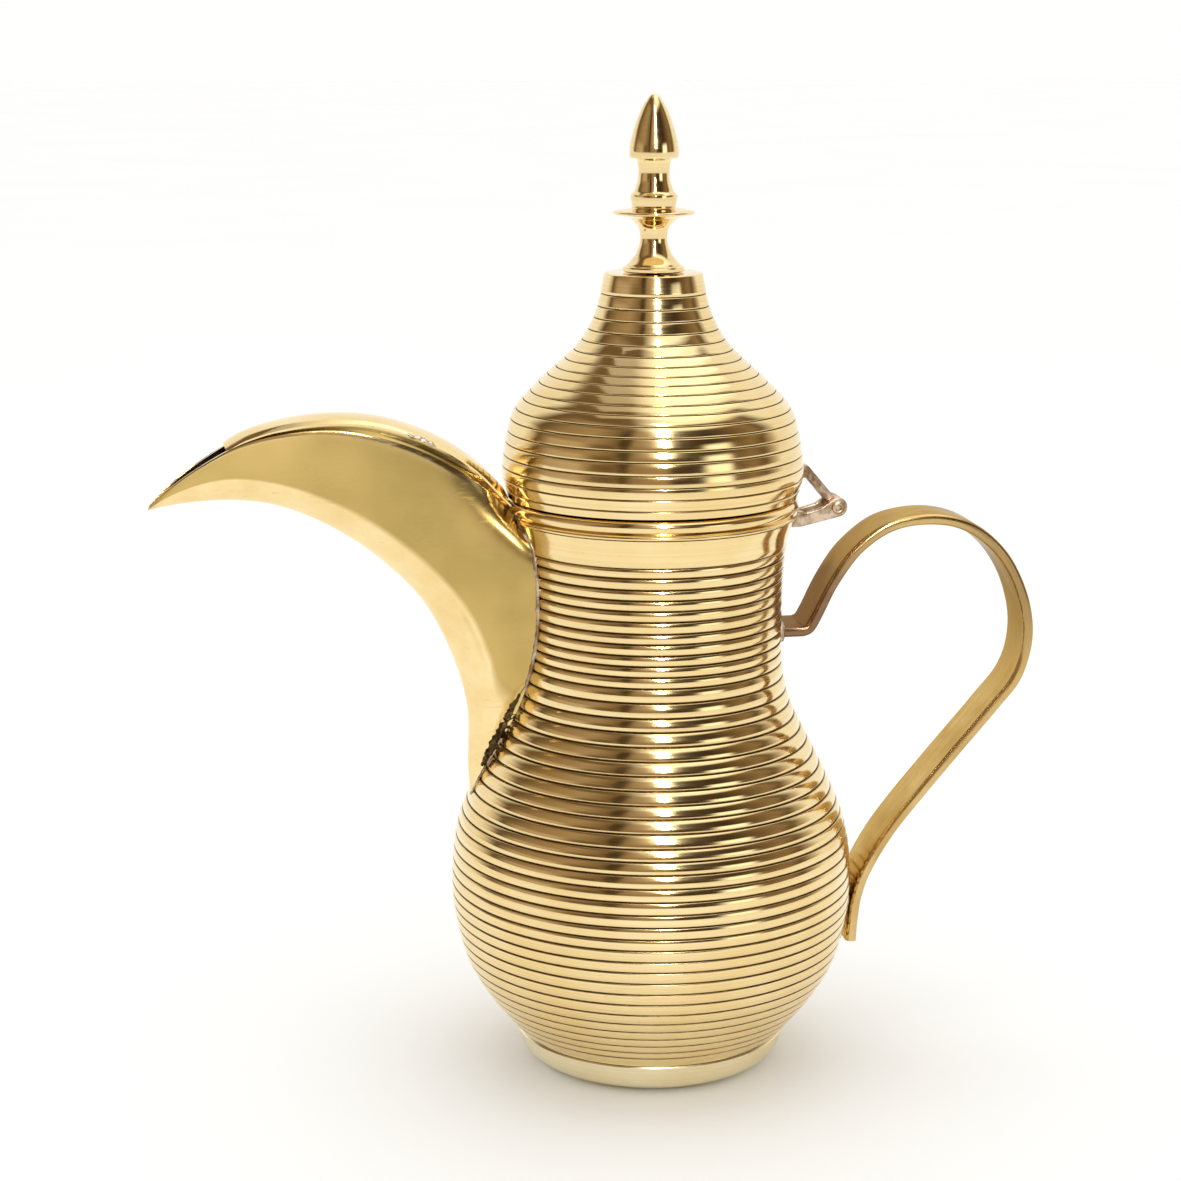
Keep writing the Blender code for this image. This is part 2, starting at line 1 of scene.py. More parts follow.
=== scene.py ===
"""Brass dallah: the looks of a lidded coffee pot with a ribbed vessel, a crescent beak and a strap handle.

Lengths in the outlines are in millimetres and go through MM. The vessel stands on the XY plane with its
axis on Z, the beak points along -X and the handle and the lid's hinge stand at +X.
"""

import math
import random

import bpy
import numpy as np
from bpy.props import FloatProperty, FloatVectorProperty, IntProperty, PointerProperty
from bpy.types import Operator, Panel, PropertyGroup
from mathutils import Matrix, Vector, noise


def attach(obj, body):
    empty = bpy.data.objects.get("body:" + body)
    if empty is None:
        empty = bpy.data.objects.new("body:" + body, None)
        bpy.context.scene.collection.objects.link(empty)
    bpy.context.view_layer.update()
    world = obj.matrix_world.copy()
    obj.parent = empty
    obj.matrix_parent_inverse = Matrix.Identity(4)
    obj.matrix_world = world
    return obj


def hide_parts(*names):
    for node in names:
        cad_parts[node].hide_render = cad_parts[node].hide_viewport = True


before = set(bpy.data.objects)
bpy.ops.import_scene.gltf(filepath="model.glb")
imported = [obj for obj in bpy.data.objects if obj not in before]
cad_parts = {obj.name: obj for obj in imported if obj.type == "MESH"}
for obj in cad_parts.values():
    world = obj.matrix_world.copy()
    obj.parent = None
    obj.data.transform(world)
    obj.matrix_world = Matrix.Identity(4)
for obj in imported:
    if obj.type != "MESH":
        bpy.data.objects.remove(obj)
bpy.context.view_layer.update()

bl_info = {
    "name": "Brass dallah",
    "version": (1, 0, 0),
    "blender": (4, 5, 0),
    "location": "3D View > Sidebar > Dallah",
    "description": "Builds a ribbed brass coffee pot piece by piece",
    "category": "Object",
}

MM = 0.001
WELD = 2e-6
SIDES = ((-1, "near"), (1, "far"))

VESSEL_LINE = [
    (42.3, 10.6), (51.6, 22.0), (58.4, 34.0), (61.9, 48.5), (62.6, 60.0), (61.0, 75.2), (56.3, 88.1),
    (49.0, 103.0), (43.3, 114.8), (40.5, 127.7), (40.1, 146.0), (41.2, 164.5), (43.5, 173.2),
]
LID_LINE = [
    (44.4, 179.9), (45.9, 185.5), (46.0, 189.5), (44.6, 198.5), (42.0, 206.4), (34.6, 214.8), (23.1, 225.7),
    (17.5, 235.6), (14.9, 246.6),
]
VESSEL_FOOT, VESSEL_TOP = VESSEL_LINE[0][1], VESSEL_LINE[-1][1]
LID_EDGE, LID_TOP = LID_LINE[0][1], LID_LINE[-1][1]
BELLY_JOINT = 61.7
JOINT_GAP = 0.06
# Ribs are turned in stretches: from one height to the next, so many ribs of equal width.
VESSEL_RIBS = [
    (13.9, 47.5, 10), (47.5, BELLY_JOINT, 4), (BELLY_JOINT, 84.4, 6), (84.4, 128.2, 11), (128.2, 164.6, 11),
]
LID_RIBS = [(182.2, 203.5, 6), (203.5, 221.9, 7), (221.9, 241.2, 6)]
# The strainer's holes: rows of (height, how many), all of one radius and one spacing.
STRAINER_ROWS = ((157.0, 4), (149.5, 3), (142.0, 4), (134.5, 3))
STRAINER_HOLE, STRAINER_SPACING = 2.0, 6.2

BEAK_TOP = [
    (-39.0, 5.6, 173.0), (-46.6, 6.3, 180.2), (-54.5, 7.6, 188.6), (-63.5, 8.4, 195.2),
    (-74.5, 8.8, 200.5), (-87.0, 8.9, 203.8), (-100.0, 8.6, 204.4), (-113.0, 8.0, 202.8),
    (-125.0, 7.0, 199.0), (-136.0, 5.4, 192.9), (-145.5, 3.2, 186.1), (-152.0, 0.7, 179.9),
]
BEAK_BEAD = [
    (-37.5, 8.0, 169.5), (-45.0, 8.4, 176.3), (-52.3, 9.2, 183.8), (-61.6, 9.7, 190.4),
    (-73.3, 9.9, 196.6), (-86.5, 9.8, 201.0), (-99.8, 9.3, 202.7), (-113.0, 8.6, 201.6),
    (-125.2, 7.5, 198.4), (-136.1, 5.7, 192.6), (-145.5, 3.3, 185.9), (-152.0, 0.75, 179.8),
]
BEAK_UPPER_SIDE = [
    (-34.0, 14.5, 163.0), (-42.0, 14.2, 166.0), (-52.0, 11.8, 173.0), (-62.0, 10.4, 181.0),
    (-73.0, 10.1, 187.5), (-86.0, 9.9, 193.0), (-99.3, 9.3, 195.5), (-112.5, 8.5, 196.0),
    (-125.3, 7.3, 194.5), (-136.3, 5.5, 190.3), (-145.6, 3.3, 185.0), (-152.0, 0.7, 179.7),
]
BEAK_LOWER_SIDE = [
    (-34.0, 14.0, 138.0), (-43.0, 13.2, 143.0), (-51.0, 11.9, 152.5), (-59.5, 10.8, 163.0),
    (-71.5, 10.3, 174.0), (-85.0, 9.8, 182.8), (-98.8, 9.1, 187.8), (-112.7, 8.3, 190.8),
    (-125.8, 7.0, 191.4), (-136.7, 5.2, 188.6), (-145.8, 3.2, 184.2), (-152.1, 0.7, 179.5),
]
BEAK_CREASE = [
    (-40.0, 4.6, 112.0), (-49.0, 6.2, 119.0), (-52.0, 8.6, 131.5), (-58.5, 10.0, 146.5),
    (-70.0, 10.1, 160.5), (-84.0, 9.7, 172.3), (-98.5, 9.0, 181.0), (-113.0, 8.1, 186.6),
    (-126.3, 6.7, 188.6), (-137.0, 4.9, 187.0), (-146.0, 2.8, 183.4), (-152.2, 0.6, 179.3),
]
BEAK_KEEL = [
    (-56.6, 0.0, 84.0), (-57.5, 0.0, 97.0), (-57.6, 0.0, 115.0), (-62.3, 0.0, 132.0),
    (-71.0, 0.0, 149.0), (-85.0, 0.0, 163.3), (-99.5, 0.0, 173.2), (-114.0, 0.0, 179.4),
    (-127.0, 0.0, 181.4), (-138.0, 0.0, 181.2), (-146.5, 0.0, 180.2), (-152.5, 0.0, 179.0),
]
BEAK_STEPS = 6
# How far the cover runs along BEAK_TOP, counted in stretches from one of its points to the next.
COVER_END = 8.35
# Solder and flux along the beak's root: the top of the seam, the burnt stretch, the spots on the cover.
SEAM_TOP = 178.5
BURNT_HEIGHTS = (96.5, 121.0)
COVER_SPOTS = (-78, -66)

HANDLE_LINE = [
    (50.3, 141.0), (55.6, 151.6), (62.8, 161.4), (73.2, 168.6), (86.4, 170.6), (98.4, 167.8), (108.9, 159.3),
    (115.8, 147.0), (118.5, 133.3), (115.6, 120.0), (107.2, 109.0), (91.2, 90.2), (76.0, 71.5), (67.9, 58.0),
    (64.8, 48.5), (63.9, 41.5), (63.4, 35.0),
]
HANDLE_ROOT = 136.6

PIN = (57.2, 174.7)
EAR_RADIUS = 3.0
PIN_HOLE = 1.45


# ---- Lines ----

def curve_through(points, steps):
    """Samples a smooth curve through all the points, with so many steps from one to the next."""
    knots = [Vector(p) for p in points]
    ends = [2 * knots[0] - knots[1], *knots, 2 * knots[-1] - knots[-2]]
    samples = []
    for before, start, end, after in zip(ends, ends[1:], ends[2:], ends[3:]):
        for step in range(steps):
            t = step / steps
            samples.append(
                0.5 * (2 * start + t * (end - before) + t * t * (2 * before - 5 * start + 4 * end - after)
                       + t ** 3 * (3 * start - before - 3 * end + after))
            )
    return [*samples, knots[-1]]


def beside(line, distance):
    moved = []
    for index, point in enumerate(line):
        along = (line[min(index + 1, len(line) - 1)] - line[max(index - 1, 0)]).normalized()
        moved.append(point + distance * Vector((-along.y, along.x)))
    return moved


def part_of(line, low, high):
    """The stretch of a rising line between two heights, with its ends cut at those heights."""
    stretch = [point for point in line if low < point.y < high]
    for start, end in zip(line, line[1:]):
        for height in (low, high):
            if min(start.y, end.y) <= height < max(start.y, end.y):
                stretch.append(start.lerp(end, (height - start.y) / (end.y - start.y)))
    return sorted(stretch, key=lambda point: point.y)


def arc(centre, radius, start_deg, end_deg, steps):
    return [
        Vector((centre[0] + radius * math.cos(a), centre[1] + radius * math.sin(a)))
        for a in (math.radians(start_deg + (end_deg - start_deg) * i / steps) for i in range(steps + 1))
    ]


class Arclength:
    """A line measured along itself, so that ribs can be set out on it."""

    def __init__(self, line):
        self.points = np.array([tuple(p) for p in line])
        self.along = np.concatenate([[0], np.cumsum(np.linalg.norm(np.diff(self.points, axis=0), axis=1))])

    def at_height(self, height):
        return float(np.interp(height, self.points[:, 1], self.along))

    def place(self, s):
        return np.array([np.interp(s, self.along, self.points[:, k]) for k in (0, 1)])

    def outward(self, s):
        step = self.place(s + 0.2) - self.place(s - 0.2)
        return np.array([step[1], -step[0]]) / np.linalg.norm(step)


def set_out(line, stretches, wander, seed):
    """Distances along the line of all the grooves, each a little off its even place, as by hand."""
    rng = random.Random(seed)
    grooves = []
    for low, high, count in stretches:
        start, end = line.at_height(low), line.at_height(high)
        for index in range(count):
            off = rng.uniform(-wander, wander) if index else 0.0
            grooves.append(start + (end - start) * index / count + off)
    return [*grooves, line.at_height(stretches[-1][1])]


def ribbed(line, grooves, low, high, bulge, groove_depth, groove_width):
    """The outline with a convex rib between each two grooves and a fine cut at each groove."""
    start, end = line.at_height(low), line.at_height(high)
    stations = {start, end}
    for a, b in zip(grooves, grooves[1:]):
        stations.update(a + (b - a) * t for t in (0.12, 0.22, 0.35, 0.5, 0.65, 0.78, 0.88))
    for g in grooves:
        stations.update(g + groove_width * share for share in (-1.0, -0.45, 0.0, 0.45, 1.0))
    stations.update(s for s in line.along if not grooves[0] <= s <= grooves[-1])
    stations = sorted(s for s in stations if start - 1e-6 <= s <= end + 1e-6)
    outline = []
    for s in stations:
        sunk = groove_depth * math.exp(-(min(abs(s - g) for g in grooves) / (groove_width * 0.5)) ** 2)
        for a, b in zip(grooves, grooves[1:]):
            if a <= s <= b:
                sunk += bulge(line.place(s)[1]) * abs(2 * (s - a) / (b - a) - 1) ** 2.2
        outline.append(Vector(line.place(s) - line.outward(s) * sunk))
    tidy = [outline[0]]
    for point in outline[1:]:
        if (point - tidy[-1]).length > 0.02:
            tidy.append(point)
    return tidy


# ---- Hand work ----

def put_down():
    if bpy.context.object and bpy.context.object.mode != "OBJECT":
        bpy.ops.object.mode_set(mode="OBJECT")
    bpy.ops.object.select_all(action="DESELECT")


def pick(*pieces):
    put_down()
    for piece in pieces:
        piece.select_set(True)
    bpy.context.view_layer.objects.active = pieces[0]


def named(name):
    piece = bpy.context.object
    piece.name = name
    piece.data.name = name
    return piece


def draw(name, points, closed):
    """Draws a chain of edges, point after point, from one vertex."""
    put_down()
    first = Vector(points[0]) * MM
    bpy.ops.mesh.primitive_plane_add(size=0.001, location=first)
    bpy.ops.object.transform_apply(location=True, rotation=True, scale=True)
    piece = named(name)
    bpy.ops.object.mode_set(mode="EDIT")
    bpy.ops.mesh.select_mode(type="VERT")
    bpy.ops.mesh.select_all(action="SELECT")
    bpy.ops.mesh.merge(type="CENTER")
    for start, end in zip(points, points[1:]):
        step = (Vector(end) - Vector(start)) * MM
        bpy.ops.mesh.extrude_vertices_move(TRANSFORM_OT_translate={"value": step})
    if closed:
        bpy.ops.object.mode_set(mode="OBJECT")
        ends = [Vector(p) * MM for p in (points[0], points[-1])]
        nearest = sorted(piece.data.vertices, key=lambda v: min((v.co - end).length for end in ends))
        for vert in nearest[:2]:
            vert.select = True
        bpy.ops.object.mode_set(mode="EDIT")
        bpy.ops.mesh.edge_face_add()
    return piece


def close_up(piece):
    bpy.ops.mesh.select_all(action="SELECT")
    bpy.ops.mesh.remove_doubles(threshold=WELD)
    bpy.ops.mesh.normals_make_consistent(inside=False)
    bpy.ops.object.mode_set(mode="OBJECT")
    return piece


def smooth(piece, degrees=40.0):
    pick(piece)
    bpy.ops.object.shade_smooth_by_angle(angle=math.radians(degrees))
    return piece


def turn(name, outline, segments, smooth_deg=40.0):
    """Draws an outline of (radius, height) points and spins it round the vessel's axis."""
    closed = min(outline[0][0], outline[-1][0]) > 0.0
    piece = draw(name, [(max(r, 0.0), 0.0, z) for r, z in outline], closed)
    bpy.ops.mesh.select_all(action="SELECT")
    bpy.ops.mesh.spin(
        steps=segments, angle=2 * math.pi, center=(0, 0, 0), axis=(0, 0, 1), use_auto_merge=True
    )
    return smooth(close_up(piece), smooth_deg)


def bend_sheet(name, rings, closed=False, caps=False, smooth_deg=40.0):
    """Lays a grid along the rings: each ring is one cross line of points, in millimetres."""
    put_down()
    across, along = len(rings[0]) - 1 + closed, len(rings) - 1
    bpy.ops.mesh.primitive_grid_add(x_subdivisions=across, y_subdivisions=along, size=1.0, calc_uvs=True)
    piece = named(name)
    mesh = piece.data
    flat = np.empty(len(mesh.vertices) * 3)
    mesh.vertices.foreach_get("co", flat)
    flat = flat.reshape(-1, 3)
    u = np.rint((flat[:, 0] + 0.5) * across).astype(int) % len(rings[0])
    v = np.rint((flat[:, 1] + 0.5) * along).astype(int)
    places = np.array([[tuple(p) for p in ring] for ring in rings])
    mesh.vertices.foreach_set("co", (places[v, u] * MM).ravel())
    bpy.ops.object.mode_set(mode="EDIT")
    bpy.ops.mesh.select_all(action="SELECT")
    bpy.ops.mesh.remove_doubles(threshold=WELD)
    if caps:
        bpy.ops.mesh.select_all(action="SELECT")
        bpy.ops.mesh.fill_holes(sides=0)
    return smooth(close_up(piece), smooth_deg)


def plate(name, outline, low, high):
    """Cuts a plate to an (x, z) outline between two places across the pot, and breaks its edges."""
    piece = draw(name, [(x, low, z) for x, z in outline], True)
    bpy.ops.mesh.select_all(action="SELECT")
    bpy.ops.mesh.edge_face_add()
    bpy.ops.mesh.extrude_region_move(TRANSFORM_OT_translate={"value": (0, (high - low) * MM, 0)})
    pick(close_up(piece))
    modifier = piece.modifiers.new("Edges", "BEVEL")
    modifier.width = 0.35 * MM
    modifier.segments = 3
    modifier.limit_method = "ANGLE"
    modifier.angle_limit = math.radians(35)
    bpy.ops.object.modifier_apply(modifier=modifier.name)
    return smooth(piece)


def cut(piece, tool, crossing=False):
    """Cuts the tool's shape out of the piece, which may cross itself, and puts the tool away."""
    pick(piece)
    modifier = piece.modifiers.new("Cut", "BOOLEAN")
    modifier.operation = "DIFFERENCE"
    modifier.solver = "EXACT"
    modifier.use_self = crossing
    modifier.object = tool
    bpy.ops.object.modifier_apply(modifier=modifier.name)
    bpy.data.objects.remove(tool, do_unlink=True)
    return smooth(piece)


def crisp(piece, line, reach):
    """Marks the piece's edges along a line, on both sides of the pot, as sharp."""
    pick(piece)
    spots = np.array([tuple(p) for p in line])
    places = np.array([tuple(v.co) for v in piece.data.vertices]) / MM
    places[:, 1] = abs(places[:, 1])
    near = np.array([np.min(np.linalg.norm(spots - place, axis=1)) < reach for place in places])
    bpy.ops.object.mode_set(mode="EDIT")
    bpy.ops.mesh.select_mode(type="EDGE")
    bpy.ops.mesh.select_all(action="DESELECT")
    bpy.ops.object.mode_set(mode="OBJECT")
    for edge in piece.data.edges:
        edge.select = bool(near[edge.vertices[0]] and near[edge.vertices[1]])
    bpy.ops.object.mode_set(mode="EDIT")
    bpy.ops.mesh.mark_sharp()
    bpy.ops.object.mode_set(mode="OBJECT")


def pin_drill(name):
    """A drill along the hinge's axis."""
    put_down()
    bpy.ops.mesh.primitive_cylinder_add(
        vertices=32, radius=PIN_HOLE * MM, depth=24 * MM,
        location=(PIN[0] * MM, 0, PIN[1] * MM), rotation=(math.radians(90), 0, 0),
    )
    bpy.ops.object.transform_apply(location=True, rotation=True, scale=True)
    return named(name)


def bead_along(name, path, outward, radius, roughness, seed, sides=10, closed=False):
    """A run of solder along a path: a tube whose thickness wanders and whose surface is lumpy."""
    rings = []
    count = len(path)
    for index, point in enumerate(path):
        ahead = path[(index + 1) % count] if closed else path[min(index + 1, count - 1)]
        behind = path[index - 1] if closed else path[max(index - 1, 0)]
        along = (ahead - behind).normalized()
        side = along.cross(outward[index]).normalized()
        up = side.cross(along)
        taper = 1.0 if closed else min(1.0, 0.25 + 4.0 * min(index, count - 1 - index) / count)
        ring = []
        for k in range(sides):
            angle = 2 * math.pi * k / sides
            direction = side * math.cos(angle) + up * math.sin(angle)
            place = point + direction * radius
            lump = noise.noise(place * 0.9 + Vector((seed, 0, 0))) + 0.5 * noise.noise(place * 2.3)
            ring.append(point + direction * radius * taper * (1 + roughness * lump))
        rings.append(ring)
    if closed:
        rings.append(rings[0])
    return bend_sheet(name, rings, closed=True, caps=not closed, smooth_deg=60.0)


# ---- Finishes ----

def shader_of(name):
    material = bpy.data.materials.new(name)
    material.use_nodes = True
    tree = material.node_tree
    shader = tree.nodes["Principled BSDF"]
    shader.inputs["Metallic"].default_value = 1.0
    return material, tree, shader


def dimmed(colour, shares):
    return [c * share for c, share in zip(colour, shares)]


def node(tree, kind, **settings):
    made = tree.nodes.new(kind)
    for key, value in settings.items():
        if key in made.inputs:
            made.inputs[key].default_value = value
        else:
            setattr(made, key, value)
    return made


def math_node(tree, operation, a, b=None, clamp=False):
    made = tree.nodes.new("ShaderNodeMath")
    made.operation = operation
    made.use_clamp = clamp
    for socket, value in zip(made.inputs, (a, b)):
        if value is None:
            continue
        if isinstance(value, (int, float)):
            socket.default_value = value
        else:
            tree.links.new(value, socket)
    return made.outputs[0]


def mixed(tree, factor, a, b):
    made = tree.nodes.new("ShaderNodeMix")
    made.data_type = "RGBA"
    for socket, value in ((made.inputs["Factor"], factor), (made.inputs["A"], a), (made.inputs["B"], b)):
        if isinstance(value, (int, float)):
            socket.default_value = value
        elif isinstance(value, (tuple, list)):
            socket.default_value = (*value[:3], 1.0)
        else:
            tree.links.new(value, socket)
    return made.outputs["Result"]


def noise_of(tree, vector, scale, detail=3.0, rough=0.55):
    made = node(tree, "ShaderNodeTexNoise", Scale=scale, Detail=detail, Roughness=rough)
    tree.links.new(vector, made.inputs["Vector"])
    return made.outputs["Fac"]


def between(tree, value, low, high, new_low=0.0, new_high=1.0):
    made = node(tree, "ShaderNodeMapRange")
    tree.links.new(value, made.inputs["Value"])
    for name, number in (("From Min", low), ("From Max", high), ("To Min", new_low), ("To Max", new_high)):
        made.inputs[name].default_value = number
    return made.outputs["Result"]


def round_place(tree, place):
    """(distance from the axis, 0, height): the same all round, for marks that a lathe leaves."""
    split = tree.nodes.new("ShaderNodeSeparateXYZ")
    tree.links.new(place, split.inputs[0])
    squares = math_node(
        tree, "ADD", math_node(tree, "MULTIPLY", split.outputs[0], split.outputs[0]),
        math_node(tree, "MULTIPLY", split.outputs[1], split.outputs[1]),
    )
    joined = tree.nodes.new("ShaderNodeCombineXYZ")
    tree.links.new(math_node(tree, "SQRT", squares), joined.inputs[0])
    tree.links.new(split.outputs[2], joined.inputs[2])
    return joined.outputs[0]


def stretched(tree, place, factors):
    made = tree.nodes.new("ShaderNodeMapping")
    made.inputs["Scale"].default_value = factors
    tree.links.new(place, made.inputs["Vector"])
    return made.outputs[0]


def bumps(tree, shader, *layers):
    """Adds layers of relief: each is (height, how deep in metres, strength)."""
    last = None
    for height, depth, strength in layers:
        made = node(tree, "ShaderNodeBump", Strength=strength, Distance=depth)
        tree.links.new(height, made.inputs["Height"])
        if last:
            tree.links.new(last, made.inputs["Normal"])
        last = made.outputs["Normal"]
    tree.links.new(last, shader.inputs["Normal"])


def turned_brass(name, colour, deep, roughness, line_strength=0.35, groove=False):
    """Brass off the lathe: fine lines round the axis, a soft cloudiness, dark in its grooves."""
    material, tree, shader = shader_of(name)
    place = tree.nodes.new("ShaderNodeTexCoord").outputs["Object"]
    round_it = round_place(tree, place)
    lines = noise_of(tree, round_it, 1500.0, 4.0, 0.6)
    bands = noise_of(tree, round_it, 260.0, 2.0)
    cloud = noise_of(tree, place, 38.0, 4.0)
    specks = noise_of(tree, place, 420.0, 3.0, 0.7)
    tint = mixed(tree, between(tree, cloud, 0.35, 0.7), colour, dimmed(colour, (0.93, 0.87, 0.74)))
    tint = mixed(tree, between(tree, lines, 0.30, 0.75, 0.0, 0.22), tint, deep)
    tint = mixed(tree, between(tree, specks, 0.66, 0.80, 0.0, 0.35), tint, deep)
    rough = math_node(tree, "ADD", between(tree, cloud, 0.3, 0.75, -0.025, 0.055), roughness)
    rough = math_node(tree, "ADD", rough, between(tree, lines, 0.3, 0.7, -0.02, 0.04))
    if groove:
        cut_in = node(tree, "ShaderNodeAttribute", attribute_name="groove").outputs["Fac"]
        uneven = math_node(tree, "MULTIPLY", cut_in, between(tree, specks, 0.2, 0.8, 0.75, 1.1))
        worn = between(tree, uneven, 0.15, 0.75)
        tint = mixed(tree, worn, tint, [c * 0.28 for c in deep])
        rough = math_node(tree, "ADD", rough, math_node(tree, "MULTIPLY", worn, 0.28))
    tree.links.new(tint, shader.inputs["Base Color"])
    tree.links.new(rough, shader.inputs["Roughness"])
    shader.inputs["Anisotropic"].default_value = 0.7
    lay = node(tree, "ShaderNodeTangent", direction_type="RADIAL", axis="Z")
    tree.links.new(lay.outputs[0], shader.inputs["Tangent"])
    bumps(tree, shader, (lines, 0.00001, line_strength), (bands, 0.00006, 0.15), (cloud, 0.0004, 0.05))
    return material


def hand_brass(name, colour, deep, roughness):
    """Sheet brass polished by hand: gentle dents, wisps of scratches, and rougher painted shade where the
    beak is marked.
    """
    material, tree, shader = shader_of(name)
    place = tree.nodes.new("ShaderNodeTexCoord").outputs["Object"]
    dents = noise_of(tree, place, 26.0, 2.0, 0.4)
    cloud = noise_of(tree, place, 60.0, 5.0, 0.6)
    scratch = noise_of(tree, stretched(tree, place, (90.0, 400.0, 900.0)), 1.0, 3.0, 0.7)
    specks = noise_of(tree, place, 700.0, 2.0, 0.7)
    tint = mixed(tree, between(tree, cloud, 0.35, 0.72), colour, dimmed(colour, (0.9, 0.82, 0.66)))
    tint = mixed(tree, between(tree, scratch, 0.62, 0.78, 0.0, 0.35), tint, deep)
    tint = mixed(tree, between(tree, specks, 0.70, 0.80, 0.0, 0.5), tint, deep)
    # Painted shade on the beak: its side faces get a mottled darker brass, mixed between a lighter and a
    # darker copy, and are made rougher as well.
    dull_and_shade = node(tree, "ShaderNodeAttribute", attribute_name="dull_and_shade").outputs["Fac"]
    lighter, darker = dimmed(colour, (0.73, 0.64, 0.42)), dimmed(colour, (0.50, 0.44, 0.26))
    shaded = mixed(tree, between(tree, noise_of(tree, place, 21.0, 3.0, 0.5), 0.36, 0.64), lighter, darker)
    tint = mixed(tree, math_node(tree, "MULTIPLY", dull_and_shade, 1.0, clamp=True), tint, shaded)
    # Painted shade, near black, in the hollow under the beak's rim.
    tint = mixed(tree, between(tree, dull_and_shade, 1.0, 2.0, 0.0, 0.9), tint, [c * 0.2 for c in deep])
    rough = math_node(tree, "ADD", between(tree, cloud, 0.3, 0.75, -0.03, 0.08), roughness)
    rough = math_node(tree, "ADD", rough, math_node(tree, "MULTIPLY", dull_and_shade, 0.10))
    rough = math_node(tree, "ADD", rough, between(tree, scratch, 0.55, 0.8, 0.0, 0.12))
    tree.links.new(tint, shader.inputs["Base Color"])
    tree.links.new(rough, shader.inputs["Roughness"])
    bumps(tree, shader, (dents, 0.0035, 0.11), (cloud, 0.0005, 0.05), (scratch, 0.000006, 0.08))
    return material


def brushed_brass(name, colour, deep, roughness):
    """Flat stock rubbed along its length: the lines follow the piece's own lay."""
    material, tree, shader = shader_of(name)
    coords = tree.nodes.new("ShaderNodeTexCoord")
    lay = stretched(tree, coords.outputs["UV"], (160.0, 14.0, 1.0))
    lines = noise_of(tree, lay, 1.0, 4.0, 0.65)
    cloud = noise_of(tree, coords.outputs["Object"], 75.0, 4.0)
    pits = noise_of(tree, coords.outputs["Object"], 900.0, 2.0, 0.7)
    tint = mixed(tree, between(tree, cloud, 0.32, 0.7), colour, dimmed(colour, (0.8, 0.72, 0.6)))
    tint = mixed(tree, between(tree, lines, 0.42, 0.75, 0.0, 0.4), tint, deep)
    tint = mixed(tree, between(tree, pits, 0.68, 0.80, 0.0, 0.5), tint, deep)
    # Red-brown from the torch at the root, and a brown stain at the top of the arch.
    for spot, near, far, strength, brown in (
        ((0.041, 0.0, 0.137), 0.018, 0.050, 0.95, (0.22, 0.125, 0.075)),
        ((0.112, 0.0, 0.150), 0.010, 0.034, 0.62, (0.22, 0.13, 0.05)),
    ):
        away = node(tree, "ShaderNodeVectorMath", operation="DISTANCE")
        away.inputs[1].default_value = spot
        tree.links.new(coords.outputs["Object"], away.inputs[0])
        reach = math_node(tree, "ADD", away.outputs["Value"], between(tree, cloud, 0.3, 0.7, -0.008, 0.008))
        tint = mixed(tree, between(tree, reach, near, far, strength, 0.0), tint, brown)
    rough = math_node(tree, "ADD", between(tree, lines, 0.3, 0.7, -0.05, 0.10), roughness)
    rough = math_node(tree, "ADD", rough, between(tree, cloud, 0.3, 0.7, -0.04, 0.06))
    tree.links.new(tint, shader.inputs["Base Color"])
    tree.links.new(mixed(tree, 0.55, tint, (0.86, 0.78, 0.64)), shader.inputs["Specular Tint"])
    tree.links.new(rough, shader.inputs["Roughness"])
    bumps(tree, shader, (lines, 0.00003, 0.35), (pits, 0.00002, 0.25))
    return material


def rough_metal(name, colour, deep, roughness, grain=650.0, depth=0.00022):
    """Metal as it comes from the torch and the file: mottled, grainy and matt."""
    material, tree, shader = shader_of(name)
    place = tree.nodes.new("ShaderNodeTexCoord").outputs["Object"]
    patches = noise_of(tree, place, 190.0, 4.0, 0.6)
    fine = noise_of(tree, place, grain, 4.0, 0.65)
    tint = mixed(tree, between(tree, patches, 0.42, 0.60), colour, deep)
    tint = mixed(tree, between(tree, fine, 0.55, 0.8, 0.0, 0.6), tint, [c * 0.5 for c in deep])
    rough = math_node(tree, "ADD", between(tree, fine, 0.3, 0.7, -0.10, 0.16), roughness)
    tree.links.new(tint, shader.inputs["Base Color"])
    tree.links.new(rough, shader.inputs["Roughness"])
    bumps(tree, shader, (patches, 0.0005, 0.35), (fine, depth, 0.6))
    return material


def finish(piece, material, slot, body, *nodes):
    piece.data.materials.clear()
    piece.data.materials.append(material)
    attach(piece, body)
    if nodes:
        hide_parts(*nodes)
    return piece


def finishes():
    """The pot's materials, each made once."""
    known = bpy.data.materials
    if "polished_turned" in known:
        return known
    look = bpy.context.scene.dallah_finish
    bright, satin, deep = look.bright[:], look.satin[:], look.deep[:]
    turned_brass("polished_turned", bright, deep, look.polish, groove=True)
    turned_brass("polished_plain", bright, deep, look.polish * 0.9)
    turned_brass("satin_turned", satin, deep, look.satin_roughness, 0.8)
    hand_brass("hand_polished", bright, deep, look.polish * 1.05)
    brushed_brass("brushed_strap", look.strap[:], deep, look.satin_roughness)
    rough_metal("raw_casting", look.raw[:], look.raw_dark[:], 0.34)
    rough_metal("hard_solder", look.solder[:], look.solder_dark[:], 0.36, 900.0)
    rough_metal("burnt_flux", (0.15, 0.10, 0.04), (0.05, 0.03, 0.012), 0.42, 900.0)
    rough_metal("zinc_plate", (0.55, 0.55, 0.57), (0.36, 0.36, 0.38), 0.34, 500.0, 0.00005)
    return known


# ---- Sizes and finishes that can be changed ----

